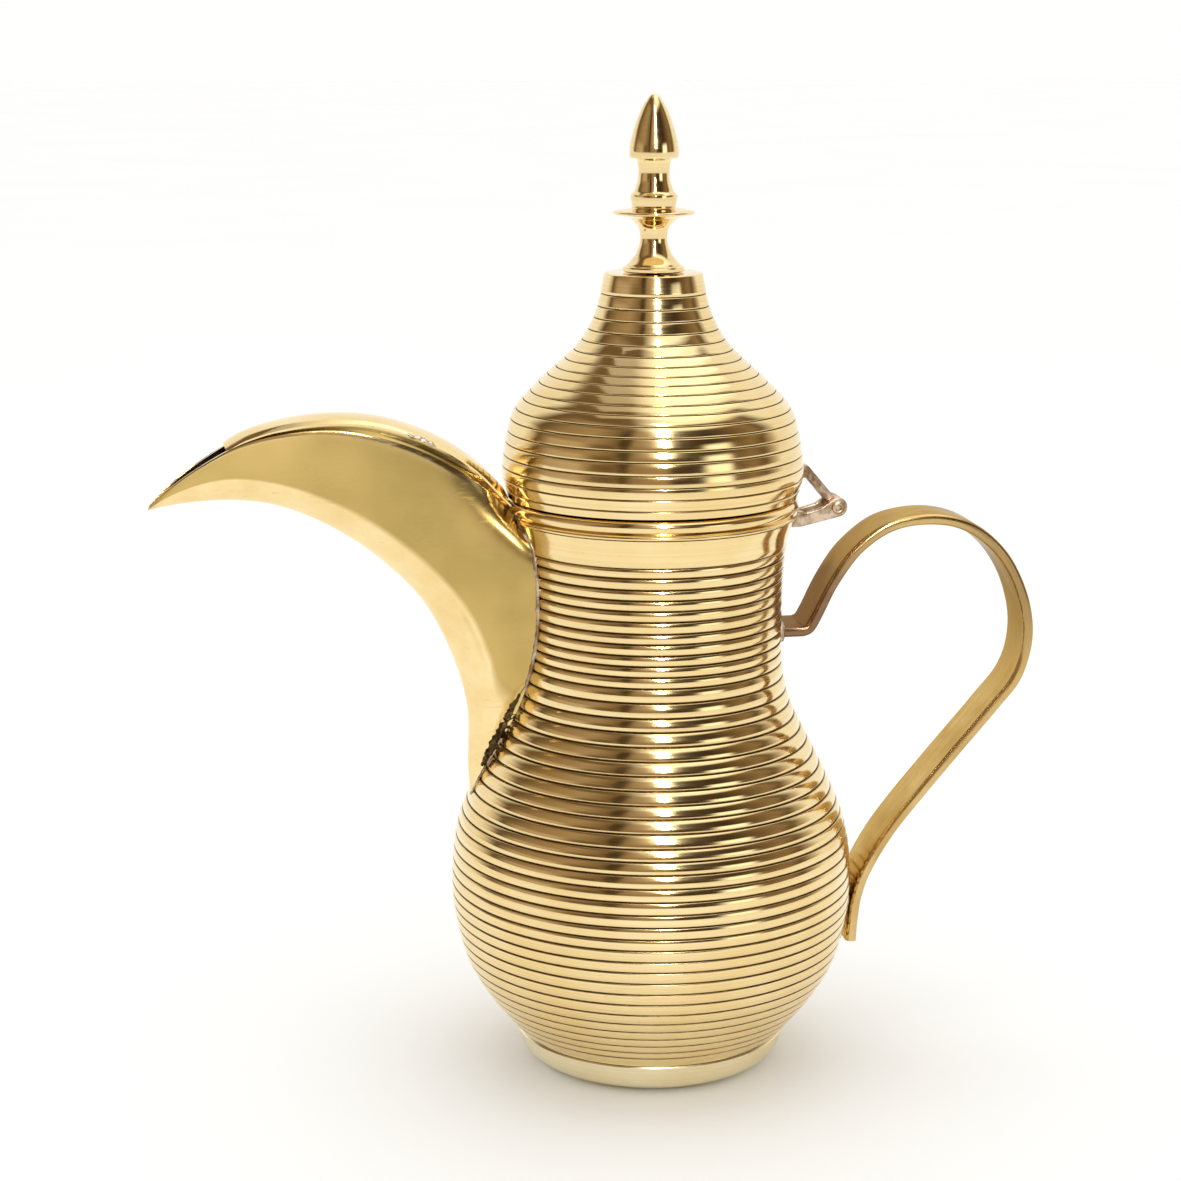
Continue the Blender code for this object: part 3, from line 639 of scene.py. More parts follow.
class DallahSizes(PropertyGroup):
    segments: IntProperty(name="Segments", description="Steps round the turned pieces", default=144, min=48)
    neck_bulge: FloatProperty(
        name="Neck ribs", description="How far the neck's ribs stand out, in mm", default=0.52)
    belly_bulge: FloatProperty(
        name="Belly ribs", description="How far the belly's ribs stand out, in mm", default=0.36)
    lid_bulge: FloatProperty(
        name="Lid ribs", description="How far the lid's bands stand out, in mm", default=0.10)
    groove_depth: FloatProperty(
        name="Groove depth", description="Depth of the fine cuts, in mm", default=0.26)
    groove_width: FloatProperty(
        name="Groove width", description="Half the width of the fine cuts, in mm", default=0.36)
    wander: FloatProperty(
        name="Wander", description="How unevenly the grooves are set out, in mm", default=0.16)
    wall: FloatProperty(name="Wall", description="Thickness of the vessel's wall, in mm", default=1.4)
    strap_width: FloatProperty(name="Strap width", description="Width of the handle, in mm", default=17.5)
    strap_thickness: FloatProperty(
        name="Strap thickness", description="Thickness of the handle, in mm", default=3.4)


class DallahFinish(PropertyGroup):
    bright: FloatVectorProperty(
        name="Bright brass", description="Colour of the polished brass",
        subtype="COLOR", default=(0.93, 0.745, 0.41))
    satin: FloatVectorProperty(
        name="Satin brass", description="Colour of the foot", subtype="COLOR", default=(0.99, 0.91, 0.66))
    strap: FloatVectorProperty(
        name="Strap brass", description="Colour of the handle", subtype="COLOR", default=(0.70, 0.51, 0.23))
    deep: FloatVectorProperty(
        name="Old brass", description="Colour of marks and grooves",
        subtype="COLOR", default=(0.38, 0.22, 0.06))
    raw: FloatVectorProperty(
        name="Raw brass", description="Colour of the hinge", subtype="COLOR", default=(0.68, 0.53, 0.39))
    raw_dark: FloatVectorProperty(
        name="Raw brass, dark", description="Darker patches of the hinge",
        subtype="COLOR", default=(0.24, 0.145, 0.075))
    solder: FloatVectorProperty(
        name="Solder", description="Colour of the brazed seams",
        subtype="COLOR", default=(0.62, 0.52, 0.40))
    solder_dark: FloatVectorProperty(
        name="Solder, dark", description="Darker patches of the seams",
        subtype="COLOR", default=(0.24, 0.15, 0.08))
    polish: FloatProperty(name="Polish", description="Roughness of the polished brass", default=0.085)
    satin_roughness: FloatProperty(name="Satin", description="Roughness of the satin brass", default=0.17)


def sizes():
    return bpy.context.scene.dallah_sizes


# ---- Outlines shared by several pieces ----

def vessel_line(inset=0.0):
    return beside(curve_through(VESSEL_LINE, 8), inset)


def lid_line(inset=0.0):
    return beside(curve_through(LID_LINE, 8), inset)


def vessel_radius(height):
    line = vessel_line()
    return float(np.interp(height, [p.y for p in line], [p.x for p in line]))


def mark_grooves(piece, line, grooves, width):
    """Notes on the piece how near each place is to a groove, for the dark in the grooves."""
    mesh = piece.data
    places = np.empty(len(mesh.vertices) * 3)
    mesh.vertices.foreach_get("co", places)
    places = places.reshape(-1, 3) / MM
    flat = np.stack([np.hypot(places[:, 0], places[:, 1]), places[:, 2]], 1)
    cuts = np.array([line.place(s) - line.outward(s) * 0.45 for s in grooves])
    nearest = np.min(np.linalg.norm(flat[:, None] - cuts[None], axis=2), axis=1)
    note = mesh.attributes.new("groove", "FLOAT", "POINT")
    note.data.foreach_set("value", np.exp(-(nearest / width) ** 2))


def mark_sides(beak):
    """Notes where the beak is painted in shade and made duller: on its side faces, and most in the hollow
    under its rim.
    """
    lines = [
        np.array([tuple(p) for p in curve_through(row, BEAK_STEPS)])
        for row in (BEAK_TOP, BEAK_BEAD, BEAK_UPPER_SIDE, BEAK_LOWER_SIDE, BEAK_CREASE)
    ]
    values = []
    for vert in beak.data.vertices:
        place = np.array([vert.co.x, abs(vert.co.y), vert.co.z]) / MM
        best = (4.0, 0.0)
        for index, (start, end) in enumerate(zip(lines, lines[1:])):
            run = end - start
            t = np.clip(((place - start) * run).sum(1) / np.maximum((run * run).sum(1), 1e-9), 0, 1)
            gap = np.linalg.norm(start + run * t[:, None] - place, axis=1)
            k = int(gap.argmin())
            if gap[k] >= best[0]:
                continue
            if index:
                down = (index - 1 + t[k]) / 3
                note = min(1.0, max(0.0, down - 0.02) / 0.05, (1 - down) / 0.05)
            else:
                # The hollow between the rim and the bead: painted shade, darker towards the tip.
                note = (1.0 + min(1.0, max(0.0, (-80 - place[0]) / 22))) * min(1.0, 6 * t[k], 7 * (1 - t[k]))
            best = (gap[k], note)
        values.append(best[1])
    note = beak.data.attributes.new("dull_and_shade", "FLOAT", "POINT")
    note.data.foreach_set("value", values)


# ---- Pieces ----

def strainer_drills():
    """One tool with a drill for each hole of the strainer behind the beak."""
    drills = []
    for height, count in STRAINER_ROWS:
        for index in range(count):
            put_down()
            across = (index - (count - 1) / 2) * STRAINER_SPACING
            bpy.ops.mesh.primitive_cylinder_add(
                vertices=20, radius=STRAINER_HOLE * MM, depth=14 * MM, rotation=(0, math.radians(90), 0),
                location=(-40.5 * MM, across * MM, height * MM),
            )
            drills.append(named("strainer_drill"))
    pick(*drills)
    bpy.ops.object.join()
    bpy.ops.object.transform_apply(location=True, rotation=True, scale=True)
    return drills[0]


class DALLAH_OT_vessel(Operator):
    """Spin the vessel's two halves, with their ribs, and join them in a groove at the belly"""

    bl_idname = "dallah.vessel"
    bl_label = "Vessel"

    def execute(self, context):
        s = sizes()
        line = Arclength(vessel_line())
        grooves = set_out(line, VESSEL_RIBS, s.wander, 4)

        def bulge(height):
            stands_out = (0.28, s.belly_bulge, s.neck_bulge, s.neck_bulge)
            return float(np.interp(height, [30, 70, 120, 150], stands_out))

        inside = vessel_line(s.wall)
        floor = 9.4
        below, above = BELLY_JOINT - JOINT_GAP, BELLY_JOINT + JOINT_GAP
        outside = ribbed(line, grooves, VESSEL_FOOT, below, bulge, s.groove_depth, s.groove_width)
        lip_out = part_of(vessel_line(s.wall + 0.25), BELLY_JOINT - 0.4, BELLY_JOINT + 4.0)
        lip_in = part_of(vessel_line(2 * s.wall), BELLY_JOINT - 1.0, BELLY_JOINT + 4.0)
        lower_inside = part_of(inside, 13.0, BELLY_JOINT - 4.0)
        outline = [
            (0.0, 8.0), (40.6, 8.0), (40.6, 10.45), *outside, *lip_out, *reversed(lip_in),
            *reversed(lower_inside), (39.0, floor + 0.6), (37.8, floor), (0.0, floor),
        ]
        lower = turn("bowl_shell", outline, s.segments)
        mark_grooves(lower, line, grooves, 0.42)
        finish(lower, finishes()["polished_turned"], "polished_brass", "pot", "vessel_lower")

        outside = ribbed(line, grooves, above, VESSEL_TOP, bulge, s.groove_depth, s.groove_width)
        wall = part_of(inside, above, VESSEL_TOP)
        upper = turn("neck_shell", [*outside, *reversed(wall)], s.segments)
        cut(upper, strainer_drills())
        mark_grooves(upper, line, grooves, 0.42)
        finish(upper, finishes()["polished_turned"], "polished_brass", "pot", "vessel_upper")
        return {"FINISHED"}


class DALLAH_OT_foot_and_rim(Operator):
    """Spin the foot dish and the mouth rim"""

    bl_idname = "dallah.foot_and_rim"
    bl_label = "Foot and rim"

    def execute(self, context):
        s = sizes()
        side = curve_through([(33.9, 0.0), (38.4, 2.3), (41.2, 5.8), (42.35, 9.4)], 5)
        outline = [
            (0.0, 0.0), (33.2, 0.0), *side, (42.4, 9.9), (42.1, 10.3), (40.9, 10.3), (40.9, 7.7),
            (39.4, 6.6), (35.4, 2.2), (33.0, 1.5), (0.0, 1.5),
        ]
        foot = turn("foot_bowl", outline, s.segments)
        finish(foot, finishes()["satin_turned"], "satin_brass", "pot", "foot_dish")
        lip = [
            (40.2, 173.5), (43.2, 173.5), *arc((43.8, 174.1), 0.6, -90, 80, 6), (43.45, 174.95),
            *arc((42.5, 177.15), 2.15, -55, 75, 12), (42.6, 179.45), (40.5, 179.5),
            (40.2, 179.2),
        ]
        rim = turn("mouth_ring", lip, s.segments)
        finish(rim, finishes()["polished_plain"], "polished_brass", "pot", "mouth_rim")
        return {"FINISHED"}


class DALLAH_OT_lid(Operator):
    """Spin the onion-shaped lid with its fine bands, and the collar inside it"""

    bl_idname = "dallah.lid"
    bl_label = "Lid"

    def execute(self, context):
        s = sizes()
        line = Arclength(lid_line())
        grooves = set_out(line, LID_RIBS, s.wander, 9)
        depth, width = s.groove_depth * 1.25, s.groove_width * 0.85
        outside = ribbed(line, grooves, LID_EDGE, LID_TOP, lambda height: s.lid_bulge, depth, width)
        inside = part_of(lid_line(1.2), 180.1, 244.6)
        outline = [
            (43.6, 179.8), *outside, *arc((14.35, 246.75), 0.5, 0, 90, 4), (13.9, 247.3), (2.3, 247.3),
            (2.3, 246.1), (13.2, 246.1), *reversed(inside), (43.3, 179.8),
        ]
        dome = turn("lid_shell", outline, s.segments)
        mark_grooves(dome, line, grooves, 0.32)
        finish(dome, finishes()["polished_turned"], "polished_brass", "lid", "lid_dome")
        sleeve = [
            (38.0, 175.4), (38.2, 175.2), (38.9, 175.2), (39.2, 175.8), (39.2, 181.4), (43.0, 181.4),
            (43.1, 182.6), (38.3, 182.6), (38.0, 182.3),
        ]
        collar = turn("lid_sleeve", sleeve, s.segments)
        finish(collar, finishes()["polished_plain"], "polished_brass", "lid", "lid_collar")
        return {"FINISHED"}


class DALLAH_OT_finial(Operator):
    """Spin the knob and dress the stud, washer and nut that hold it"""

    bl_idname = "dallah.finial"
    bl_label = "Finial"

    def execute(self, context):
        base = [(8.9, 247.6), (9.3, 247.9), (9.3, 248.7), (9.0, 249.15), (8.3, 249.3), (8.1, 249.5)]
        stem = curve_through(
            [(8.0, 249.7), (5.7, 252.4), (4.4, 255.4), (4.05, 258.3), (4.9, 261.2), (7.6, 263.6)], 6)
        disc = [
            (9.6, 264.3), *arc((11.75, 265.15), 0.5, -80, 80, 6), (10.2, 265.95), (8.2, 266.2), (6.9, 266.4),
        ]
        collar = [(6.55, 266.7), (6.6, 267.1), (7.1, 270.1), (7.0, 270.5), (6.5, 270.85), (6.1, 271.2)]
        neck = curve_through([(5.9, 271.5), (4.95, 274.3), (4.65, 277.4), (5.0, 280.2), (5.5, 281.1)], 5)
        acorn = [
            (6.9, 281.3), (7.3, 281.7), (7.25, 284.6), (6.5, 288.2), (5.1, 292.6), (3.3, 296.6), (1.7, 299.1),
        ]
        bud = [*curve_through(acorn, 5), (1.1, 299.7), (0.5, 299.95), (0.0, 300.0)]
        stud_hole = [(0.0, 257.3), (2.3, 257.3), (2.3, 247.9)]
        outline = [(2.3, 247.6), *base, *stem, *disc, *collar, *neck, *bud, *stud_hole]
        knob = turn("finial_knob", outline, 96, 32.0)
        finish(knob, finishes()["polished_plain"], "polished_brass", "lid", "finial")
        for name, material in (
            ("finial_stud", "polished_plain"),
            ("finial_washer", "polished_plain"),
            ("finial_nut", "zinc_plate"),
        ):
            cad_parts[name].data.materials.clear()
            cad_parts[name].data.materials.append(finishes()[material])
        return {"FINISHED"}


def beak_rings():
    """Cross lines of the beak, each from one rim down round the keel to the other, and back inside."""
    top, bead, upper, lower, crease, keel = [
        curve_through(row, BEAK_STEPS)
        for row in (BEAK_TOP, BEAK_BEAD, BEAK_UPPER_SIDE, BEAK_LOWER_SIDE, BEAK_CREASE, BEAK_KEEL)
    ]
    rings = []
    for t, b, u, low, c, k in zip(top, bead, upper, lower, crease, keel):
        cove = t.lerp(b, 0.5) - Vector((0, 0.55 * min(1.0, b.y / 8.0), 0))
        lip = [t, t.lerp(cove, 0.4), cove, cove.lerp(b, 0.55), b - Vector((0, 0.12, -0.35))]
        face = curve_through([b, u, low, c], 5)
        mirrored = Vector((c.x, -c.y, c.z))
        flank = Vector((k.x + 0.40 * (c.x - k.x), 0.62 * c.y, k.z + 0.40 * (c.z - k.z)))
        under = curve_through([c, flank, k, Vector((flank.x, -flank.y, flank.z)), mirrored], 5)
        half = under[: len(under) // 2 + 1]
        half.insert(1, half[0].lerp(half[1], 0.22))
        face.insert(-1, face[-2].lerp(face[-1], 0.82))
        side = [*lip, *face, *half[1:]]
        wall = min(1.3, 0.45 * t.y)
        up = (t - k).normalized()
        rail = [t, u, low, c, flank, k]
        lift = (0.0, 0.15, 0.3, 0.6, 0.9, 1.15)
        inner = [
            Vector((p.x, max(p.y - wall, 0.0), p.z)) + Vector((up.x, 0, up.z)) * wall * share
            for p, share in zip(rail, lift)
        ]
        inner = curve_through(inner, 3)
        outside = side + [Vector((p.x, -p.y, p.z)) for p in reversed(side[:-1])]
        within = inner + [Vector((p.x, -p.y, p.z)) for p in reversed(inner[:-1])]
        rings.append(outside + within[::-1])
    return rings


def vessel_plug():
    """The vessel's outside with the rim and the lid, as a solid to fit other pieces against."""
    body = part_of(vessel_line(-0.04), 14.0, 173.3)
    lid = part_of(lid_line(-0.8), 180.0, 204.0)
    outline = [(0.0, body[0].y), *body, (44.75, 173.45), (44.75, 179.6), *lid, (0.0, lid[-1].y)]
    return turn("vessel_plug", outline, 96)


class DALLAH_OT_beak(Operator):
    """Bend the beak's trough to shape, fit it to the vessel and lay its cover on it"""

    bl_idname = "dallah.beak"
    bl_label = "Beak"

    def execute(self, context):
        beak = bend_sheet("beak_trough", beak_rings(), closed=True, caps=True, smooth_deg=38.0)
        cut(beak, vessel_plug(), crossing=True)
        crisp(beak, curve_through(BEAK_CREASE, BEAK_STEPS), 0.12)
        mark_sides(beak)
        finish(beak, finishes()["hand_polished"], "polished_brass", "pot", "spout_beak")

        top = curve_through(BEAK_TOP, BEAK_STEPS)
        last = int(COVER_END * BEAK_STEPS)
        rings = []
        for station in range(last + 1):
            edge = top[station]
            along = (top[min(station + 1, last)] - top[max(station - 1, 0)]).normalized()
            up = Vector((-along.z, 0.0, along.x))
            up = up if up.z > 0 else -up
            fade = min(1.0, (last - station) / 4 + 0.35)
            over, under = [], []
            for step in range(13):
                share = 1.0 - step / 6.0
                crown = 1.5 * (1 - share ** 2)
                edge_round = 0.45 * max(0.0, abs(share) - 0.84) / 0.16
                middle = Vector((edge.x, share * (edge.y + 0.15), edge.z))
                over.append(middle + up * (0.95 * fade + crown - edge_round))
                under.append(middle + up * (0.02 + crown * 0.94))
            rings.append(over + under[::-1])
        cover = bend_sheet("beak_cover", rings, closed=True, caps=True, smooth_deg=38.0)
        cut(cover, vessel_plug())
        finish(cover, finishes()["hand_polished"], "polished_brass", "pot", "spout_cover")
        return {"FINISHED"}


def seam_points():
    """Where the beak's near side meets the vessel, from the rim down to the keel."""
    rings = beak_rings()
    points = []
    for column in range(len(rings[0]) // 2):
        row = [ring[column] for ring in rings]
        if row[0].y < -0.001:
            break
        for a, b in zip(row, row[1:]):
            inside = math.hypot(a.x, a.y) - vessel_radius(a.z)
            outside = math.hypot(b.x, b.y) - vessel_radius(b.z)
            if inside < 0 <= outside:
                points.append(a.lerp(b, inside / (inside - outside)))
                break
    return points


def solder(name, path, outward, radius, roughness, seed, metal="hard_solder", closed=False):
    bead = bead_along(name, path, outward, radius, roughness, seed, closed=closed)
    return finish(bead, finishes()[metal], "raw_brass", "pot")


def on_vessel(y, z, lift):
    """The place on the vessel's handle side at this breadth and height, lifted off it a little."""
    return Vector((math.sqrt(vessel_radius(z) ** 2 - y * y) + lift, y, z))


def handle_root_loop():
    """Once round the handle's upper end, where it meets the vessel."""
    low, high, half = 134.9, 138.3, 8.75
    corners = [(-half, low), (-half, high), (half, high), (half, low)]
    loop = []
    for (y0, z0), (y1, z1) in zip(corners, corners[1:] + corners[:1]):
        steps = 10 if abs(y1 - y0) > 5 else 4
        for step in range(steps):
            t = step / steps
            loop.append(on_vessel(y0 + (y1 - y0) * t, z0 + (z1 - z0) * t, 0.1))
    return loop


class DALLAH_OT_seams(Operator):
    """Run the solder along the beak's root and round the handle's ends"""

    bl_idname = "dallah.seams"
    bl_label = "Brazed seams"

    def execute(self, context):
        line = curve_through([p for p in seam_points() if p.z < SEAM_TOP], 4)
        for side, hand in SIDES:
            path = [Vector((p.x, side * p.y, p.z)) for p in line]
            out = [Vector((p.x, p.y, 0)).normalized() for p in path]
            path = [p + o * 0.1 for p, o in zip(path, out)]
            solder(f"beak_solder_{hand}", path, out, 0.62, 0.75, 3 + side)
            start = path[0] + Vector((-0.8, 0, -0.6)) + out[0] * 0.3
            drop = [start + Vector((0, 0, -0.7)) * step for step in range(4)]
            solder(f"rim_solder_{hand}", drop, [out[0]] * len(drop), 1.25, 0.7, 23 + side)
            edge = [p for p in curve_through(BEAK_TOP, BEAK_STEPS) if COVER_SPOTS[0] < p.x < COVER_SPOTS[1]]
            edge = curve_through([Vector((p.x, side * (p.y + 0.1), p.z + 0.35)) for p in edge], 3)
            solder(f"cover_solder_{hand}", edge, [Vector((0, 0, 1))] * len(edge), 0.55, 1.3, 29)
            low = [k for k, p in enumerate(path) if BURNT_HEIGHTS[0] < p.z < BURNT_HEIGHTS[1]]
            flux = [path[k] + Vector((-1.2, 0.0, -0.2)) + out[k] * 0.25 for k in low]
            solder(f"burnt_flux_{hand}", flux, [out[k] for k in low], 1.25, 1.2, 17 + side, "burnt_flux")
        loop = handle_root_loop()
        out = [Vector((1, p.y / 40, (p.z - HANDLE_ROOT) / 6)).normalized() for p in loop]
        solder("handle_solder_top", loop, out, 0.9, 0.6, 7, closed=True)
        for side, hand in SIDES:
            path = [on_vessel(side * 8.0, 40.0 + step, 0.35) for step in range(12)]
            solder(f"handle_solder_low_{hand}", path, [Vector((1, 0, 0))] * len(path), 0.8, 0.5, 11)
        return {"FINISHED"}


class DALLAH_OT_handle(Operator):
    """Bend the strap handle along its line"""

    bl_idname = "dallah.handle"
    bl_label = "Handle"

    def execute(self, context):
        s = sizes()
        bend = curve_through([(46.2, HANDLE_ROOT), (48.3, HANDLE_ROOT + 1.0), HANDLE_LINE[0]], 4)
        root = [Vector((36.0, HANDLE_ROOT)), Vector((41.0, HANDLE_ROOT))]
        path = [*root, *bend[:-1], *curve_through(HANDLE_LINE, 7)]
        half_width, half_thick = s.strap_width / 2, s.strap_thickness / 2
        corner = 1.4
        section = []
        for cx, cy, start in ((1, 1, 0), (-1, 1, 90), (-1, -1, 180), (1, -1, 270)):
            centre = (cx * (half_width - corner), cy * (half_thick - corner))
            section.extend(arc(centre, corner, start, start + 90, 6))
        flat = []
        for a, b in zip(section, section[1:] + section[:1]):
            flat.append(a)
            if (b - a).length > 5:
                flat.extend(a.lerp(b, k / 6) for k in range(1, 6))
        section = flat
        normals = [after - before for before, after in zip(path, beside(path, 1.0))]
        rings = []
        for index, point in enumerate(path):
            out = normals[index]
            wave = 1 + 0.012 * noise.noise(Vector((index * 0.35, 2.0, 0.0)))
            thick = 1 + 0.05 * noise.noise(Vector((index * 0.22, 7.0, 0.0)))
            rings.append([
                Vector((point.x + out.x * p.y * thick, p.x * wave, point.y + out.y * p.y * thick))
                for p in section
            ])
        strap = bend_sheet("strap", rings, closed=True, caps=True, smooth_deg=50.0)
        cut(strap, vessel_plug())
        finish(strap, finishes()["brushed_strap"], "satin_brass", "pot", "handle_strap")
        return {"FINISHED"}


class DALLAH_OT_hinge(Operator):
    """Make the fork on the rim, the lid's arm and the riveted pin"""

    bl_idname = "dallah.hinge"
    bl_label = "Hinge"

    def execute(self, context):
        ear = arc(PIN, EAR_RADIUS, -75, 105, 14)
        outline = [(42.0, 168.8), (45.5, 168.9), *ear, (52.0, 174.6), (47.5, 173.3), (42.0, 173.1)]
        fork = plate("fork", outline, -5.0, -3.05)
        far_ear = plate("fork_far_ear", outline, 3.05, 5.0)
        web = plate("fork_web", [(41.5, 169.2), (47.6, 169.3), (47.6, 172.9), (41.5, 172.9)], -3.3, 3.3)
        pick(fork, far_ear, web)
        bpy.ops.object.join()
        cut(fork, pin_drill("fork_drill"), crossing=True)
        cut(fork, vessel_plug(), crossing=True)
        finish(fork, finishes()["raw_casting"], "raw_brass", "pot", "hinge_fork")

        pin, bend, tab = Vector(PIN), Vector((47.2, 186.5)), Vector((45.9, 183.8))
        half = 1.4
        along = (bend - pin).normalized()
        aside = Vector((along.y, -along.x)) * half
        lead = math.degrees(math.atan2(along.y, along.x))
        spread = math.degrees(math.asin(half / EAR_RADIUS))
        knuckle = arc(PIN, EAR_RADIUS, lead + spread, lead + 360 - spread, 24)
        outline = [
            *knuckle, bend + aside + along * 0.2, bend - Vector((3.0, -half)), tab - Vector((3.0, 0.0)),
            tab + Vector((1.8, 0.0)), bend - aside - along * 3.2,
        ]
        arm = plate("lid_arm", outline, -2.7, 2.7)
        cut(arm, pin_drill("arm_drill"))
        grown = part_of(lid_line(-0.05), 180.2, 210.0)
        lid_plug = turn("lid_plug", [(0.0, grown[0].y), *grown, (0.0, grown[-1].y)], 96)
        cut(arm, lid_plug)
        finish(arm, finishes()["raw_casting"], "raw_brass", "lid", "hinge_arm")

        head = [
            (0.0, 5.2), (0.75, 5.25), (1.0, 5.75), (1.35, 5.9), (1.75, 5.75), (2.0, 5.4), (2.0, 5.1),
            (1.3, 5.06),
        ]
        rivet = turn("rivet", [*head, *[(r, -z) for r, z in reversed(head)]], 32)
        rivet.rotation_euler = (math.radians(90), 0, 0)
        rivet.location = (PIN[0] * MM, 0, PIN[1] * MM)
        pick(rivet)
        bpy.ops.object.transform_apply(location=True, rotation=True, scale=True)
        finish(rivet, finishes()["raw_casting"], "raw_brass", "pot", "hinge_pin")

        for side, hand in SIDES:
            y = side * 4.0
            path = [Vector((math.sqrt(44.2 ** 2 - y * y) + 0.2, y, 169.0 + 0.6 * step)) for step in range(10)]
            path = [Vector((p.x - 1.6 * max(0, 173.4 - p.z) / 4.4, p.y, p.z)) for p in path]
            solder(f"fork_solder_{hand}", path, [Vector((1, 0, 0))] * len(path), 0.9, 0.6, y)
        return {"FINISHED"}


# ---- Stage ----

CAMERA_TURN = -9.15
CAMERA_PITCH = 12.27
CAMERA_AWAY = (-146.2, -788.6, 323.8)
CAMERA_LENS = 81.15
# The light round the room, at eye level and higher up: (degrees right of the camera, strength).
LEVEL_LIGHT = (
    (-180, 1.05), (-122, 1.05), (-112, 0.70), (-103, 0.10), (-88, 0.50), (-60, 0.60), (-46, 0.20),
    (-34, 0.16), (-27, 0.22), (-25, 0.08), (-20, 0.08), (-17, 0.30), (10, 0.42), (15, 0.07), (38, 0.05),
    (45, 1.60), (60, 1.60), (66, 0.12), (84, 0.30), (97, 0.12), (108, 0.60), (116, 1.05), (180, 1.05),
)
UPPER_LIGHT = (
    (-180, 1.05), (-125, 1.0), (-108, 0.12), (-80, 0.34), (-52, 0.42), (-29, 0.20), (-26, 0.06), (-19, 0.06),
    (-15, 0.34), (3, 0.50), (13, 0.50), (18, 0.06), (50, 0.05), (70, 0.16), (92, 0.30), (102, 0.12),
    (116, 1.05), (180, 1.05),
)


def tone(value):
    """Light of a given strength: white when strong, the brown of a furnished room when weak."""
    part = min(1.0, value)
    return (value, value * (0.58 + 0.41 * part), value * (0.18 + 0.76 * part), 1.0)


def round_the_room(tree, share, stops):
    """A ramp of light strengths round the room: each stop is (degrees right of the camera, strength)."""
    ramp = tree.nodes.new("ShaderNodeValToRGB")
    element = ramp.color_ramp.elements
    places = [((degrees + 180) / 360, strength) for degrees, strength in stops]
    element[0].position, element[1].position = places[0][0], places[-1][0]
    for index, (place, strength) in enumerate(places):
        stop = element[0] if index == 0 else element[-1] if index == len(places) - 1 else element.new(place)
        stop.color = tone(strength)
    tree.links.new(share, ramp.inputs["Fac"])
    return ramp.outputs["Color"]


def share_of_turn(tree, vector):
    """How far round from the camera a direction lies, from 0 to 1, with the camera itself at a half."""
    turned = tree.nodes.new("ShaderNodeMapping")
    turned.inputs["Rotation"].default_value = (0, 0, math.radians(10.5))
    tree.links.new(vector, turned.inputs["Vector"])
    split = tree.nodes.new("ShaderNodeSeparateXYZ")
    tree.links.new(turned.outputs[0], split.inputs[0])
    back = math_node(tree, "MULTIPLY", split.outputs[1], -1.0)
    angle = math_node(tree, "ARCTAN2", split.outputs[0], back)
    return math_node(tree, "ADD", math_node(tree, "DIVIDE", angle, 2 * math.pi), 0.5), split


def paint_world(world):
    """The room that the brass mirrors: pale behind the pot, dim in front, with a window on the right."""
    world.use_nodes = True
    tree = world.node_tree
    tree.nodes.clear()
    share, split = share_of_turn(tree, tree.nodes.new("ShaderNodeTexCoord").outputs["Generated"])
    level = round_the_room(tree, share, LEVEL_LIGHT)
    upper = round_the_room(tree, share, UPPER_LIGHT)
    ceiling = mixed(tree, between(tree, split.outputs[0], -0.22, 0.10), tone(0.17), tone(1.35))
    up = split.outputs[2]
    shade = mixed(tree, between(tree, up, 0.20, 0.30), level, upper)
    shade = mixed(tree, between(tree, up, 0.70, 0.80), shade, ceiling)
    path = tree.nodes.new("ShaderNodeLightPath")
    shade = mixed(tree, path.outputs["Is Glossy Ray"], (1.14, 1.14, 1.13), shade)
    shade = mixed(tree, path.outputs["Is Camera Ray"], shade, (1.0, 1.0, 0.995))
    light = node(tree, "ShaderNodeBackground", Strength=1.0)
    tree.links.new(shade, light.inputs["Color"])
    out = tree.nodes.new("ShaderNodeOutputWorld")
    tree.links.new(light.outputs[0], out.inputs[0])


def area_light(name, place, size, power, aim):
    bpy.ops.object.light_add(type="AREA", location=place)
    lamp = bpy.context.object
    lamp.name = name
    lamp.data.shape = "RECTANGLE"
    lamp.data.size, lamp.data.size_y = size
    lamp.data.energy = power
    lamp.rotation_euler = (Vector(aim) - Vector(place)).to_track_quat("-Z", "Y").to_euler()
    return lamp


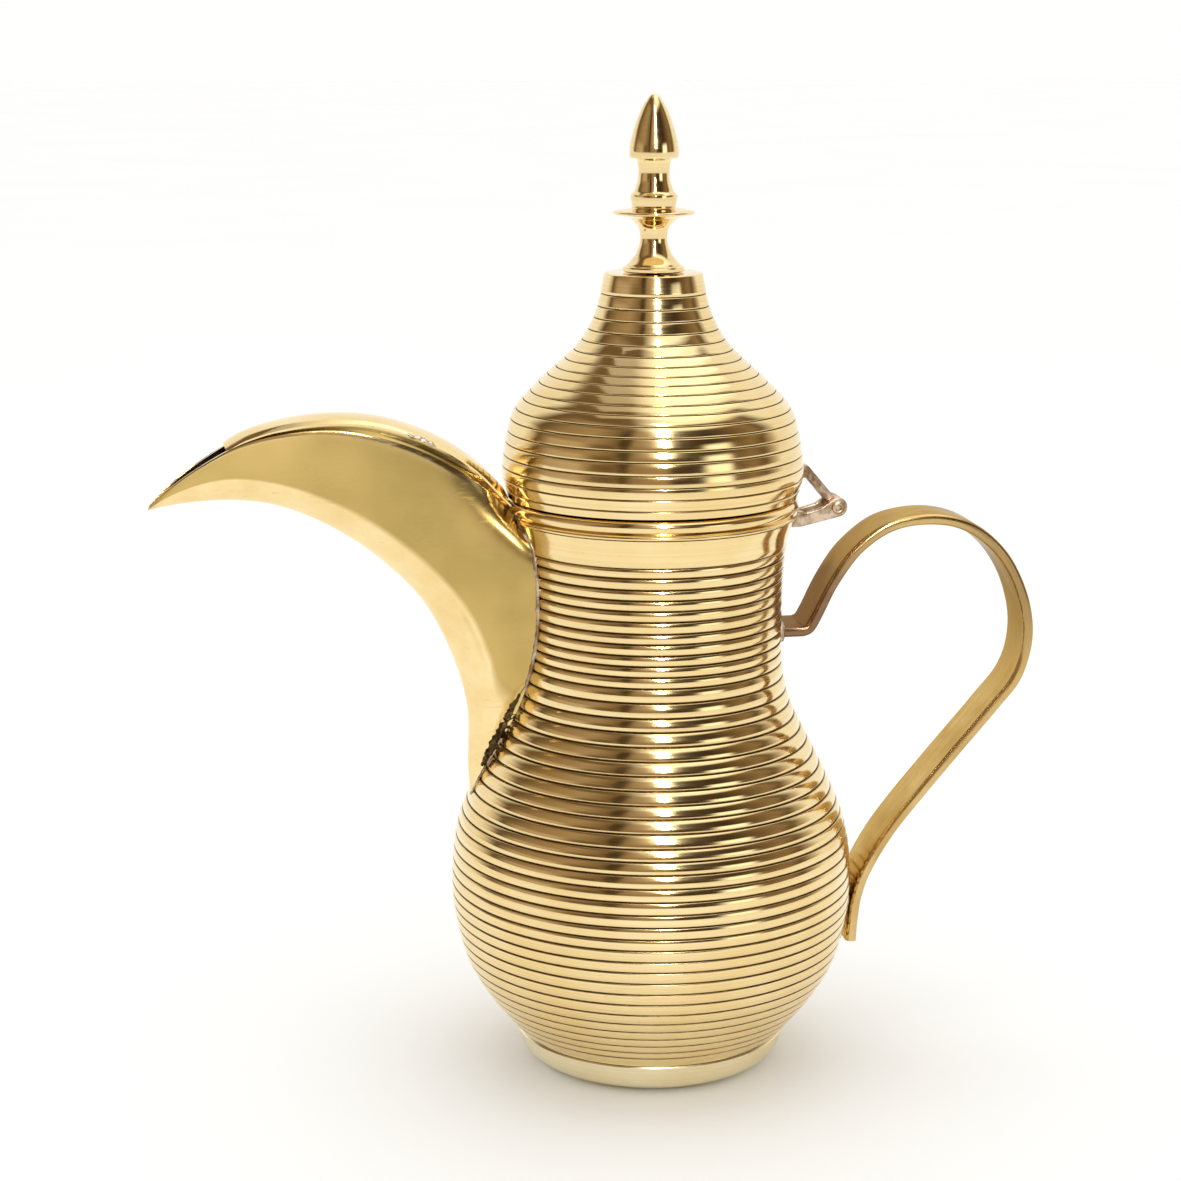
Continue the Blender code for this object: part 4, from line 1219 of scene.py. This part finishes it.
class DALLAH_OT_stage(Operator):
    """Lay the pale floor, hang the lights and set the camera"""

    bl_idname = "dallah.stage"
    bl_label = "Stage"

    def execute(self, context):
        put_down()
        bpy.ops.mesh.primitive_plane_add(size=24.0, location=(0, 0, -0.0002))
        floor = named("floor")
        material, tree, shader = shader_of("pale_floor")
        shader.inputs["Metallic"].default_value = 0.0
        shader.inputs["Roughness"].default_value = 0.7
        place = tree.nodes.new("ShaderNodeTexCoord").outputs["Object"]
        cloud = between(tree, noise_of(tree, place, 3.0), 0.3, 0.7)
        tint = mixed(tree, cloud, (0.905, 0.905, 0.90), (0.89, 0.89, 0.885))
        # The floor is painted paler in mirror rays than to the camera and the lights: a painted brightening
        # of its reflection in the brass.
        mirrored = tree.nodes.new("ShaderNodeLightPath").outputs["Is Glossy Ray"]
        tint = mixed(tree, mirrored, tint, (0.93, 0.93, 0.91))
        tree.links.new(tint, shader.inputs["Base Color"])
        floor.data.materials.append(material)

        put_down()
        strip = area_light("front_strip", (-0.021, -0.90, 0.82), (0.045, 0.9), 8.0, (0, 0, 0.16))
        strip.visible_diffuse = False
        put_down()
        area_light("top_softbox", (0.1, 0.2, 1.5), (1.4, 1.4), 2.5, (0, 0, 0.1))
        world = bpy.context.scene.world or bpy.data.worlds.new("room")
        context.scene.world = world
        paint_world(world)

        put_down()
        bpy.ops.object.camera_add(
            location=[value * MM for value in CAMERA_AWAY],
            rotation=(math.radians(90 - CAMERA_PITCH), 0, math.radians(CAMERA_TURN)),
        )
        camera = bpy.context.object
        camera.name = "view"
        camera.data.lens = CAMERA_LENS
        camera.data.sensor_width = 36.0
        camera.data.clip_start = 0.01
        camera.data.clip_end = 60.0
        camera.data.dof.use_dof = False
        context.scene.camera = camera
        context.scene.view_settings.view_transform = "Standard"
        return {"FINISHED"}


OPERATORS = (
    DALLAH_OT_vessel, DALLAH_OT_foot_and_rim, DALLAH_OT_lid, DALLAH_OT_finial, DALLAH_OT_beak,
    DALLAH_OT_seams, DALLAH_OT_handle, DALLAH_OT_hinge, DALLAH_OT_stage,
)


class DALLAH_PT_panel(Panel):
    """Lists the pot's pieces, sizes and finishes"""

    bl_label = "Dallah"
    bl_idname = "DALLAH_PT_panel"
    bl_space_type = "VIEW_3D"
    bl_region_type = "UI"
    bl_category = "Dallah"

    def draw(self, context):
        for group in (context.scene.dallah_sizes, context.scene.dallah_finish):
            box = self.layout.box()
            for key in group.__annotations__:
                box.prop(group, key)
        for operator in OPERATORS:
            self.layout.operator(operator.bl_idname)


CLASSES = (DallahSizes, DallahFinish, *OPERATORS, DALLAH_PT_panel)


def register():
    for made in CLASSES:
        bpy.utils.register_class(made)
    bpy.types.Scene.dallah_sizes = PointerProperty(type=DallahSizes)
    bpy.types.Scene.dallah_finish = PointerProperty(type=DallahFinish)


def unregister():
    del bpy.types.Scene.dallah_sizes
    del bpy.types.Scene.dallah_finish
    for made in reversed(CLASSES):
        bpy.utils.unregister_class(made)


def main():
    register()
    for operator in OPERATORS:
        group, name = operator.bl_idname.split(".")
        getattr(getattr(bpy.ops, group), name)()
    put_down()


if __name__ == "__main__":
    main()
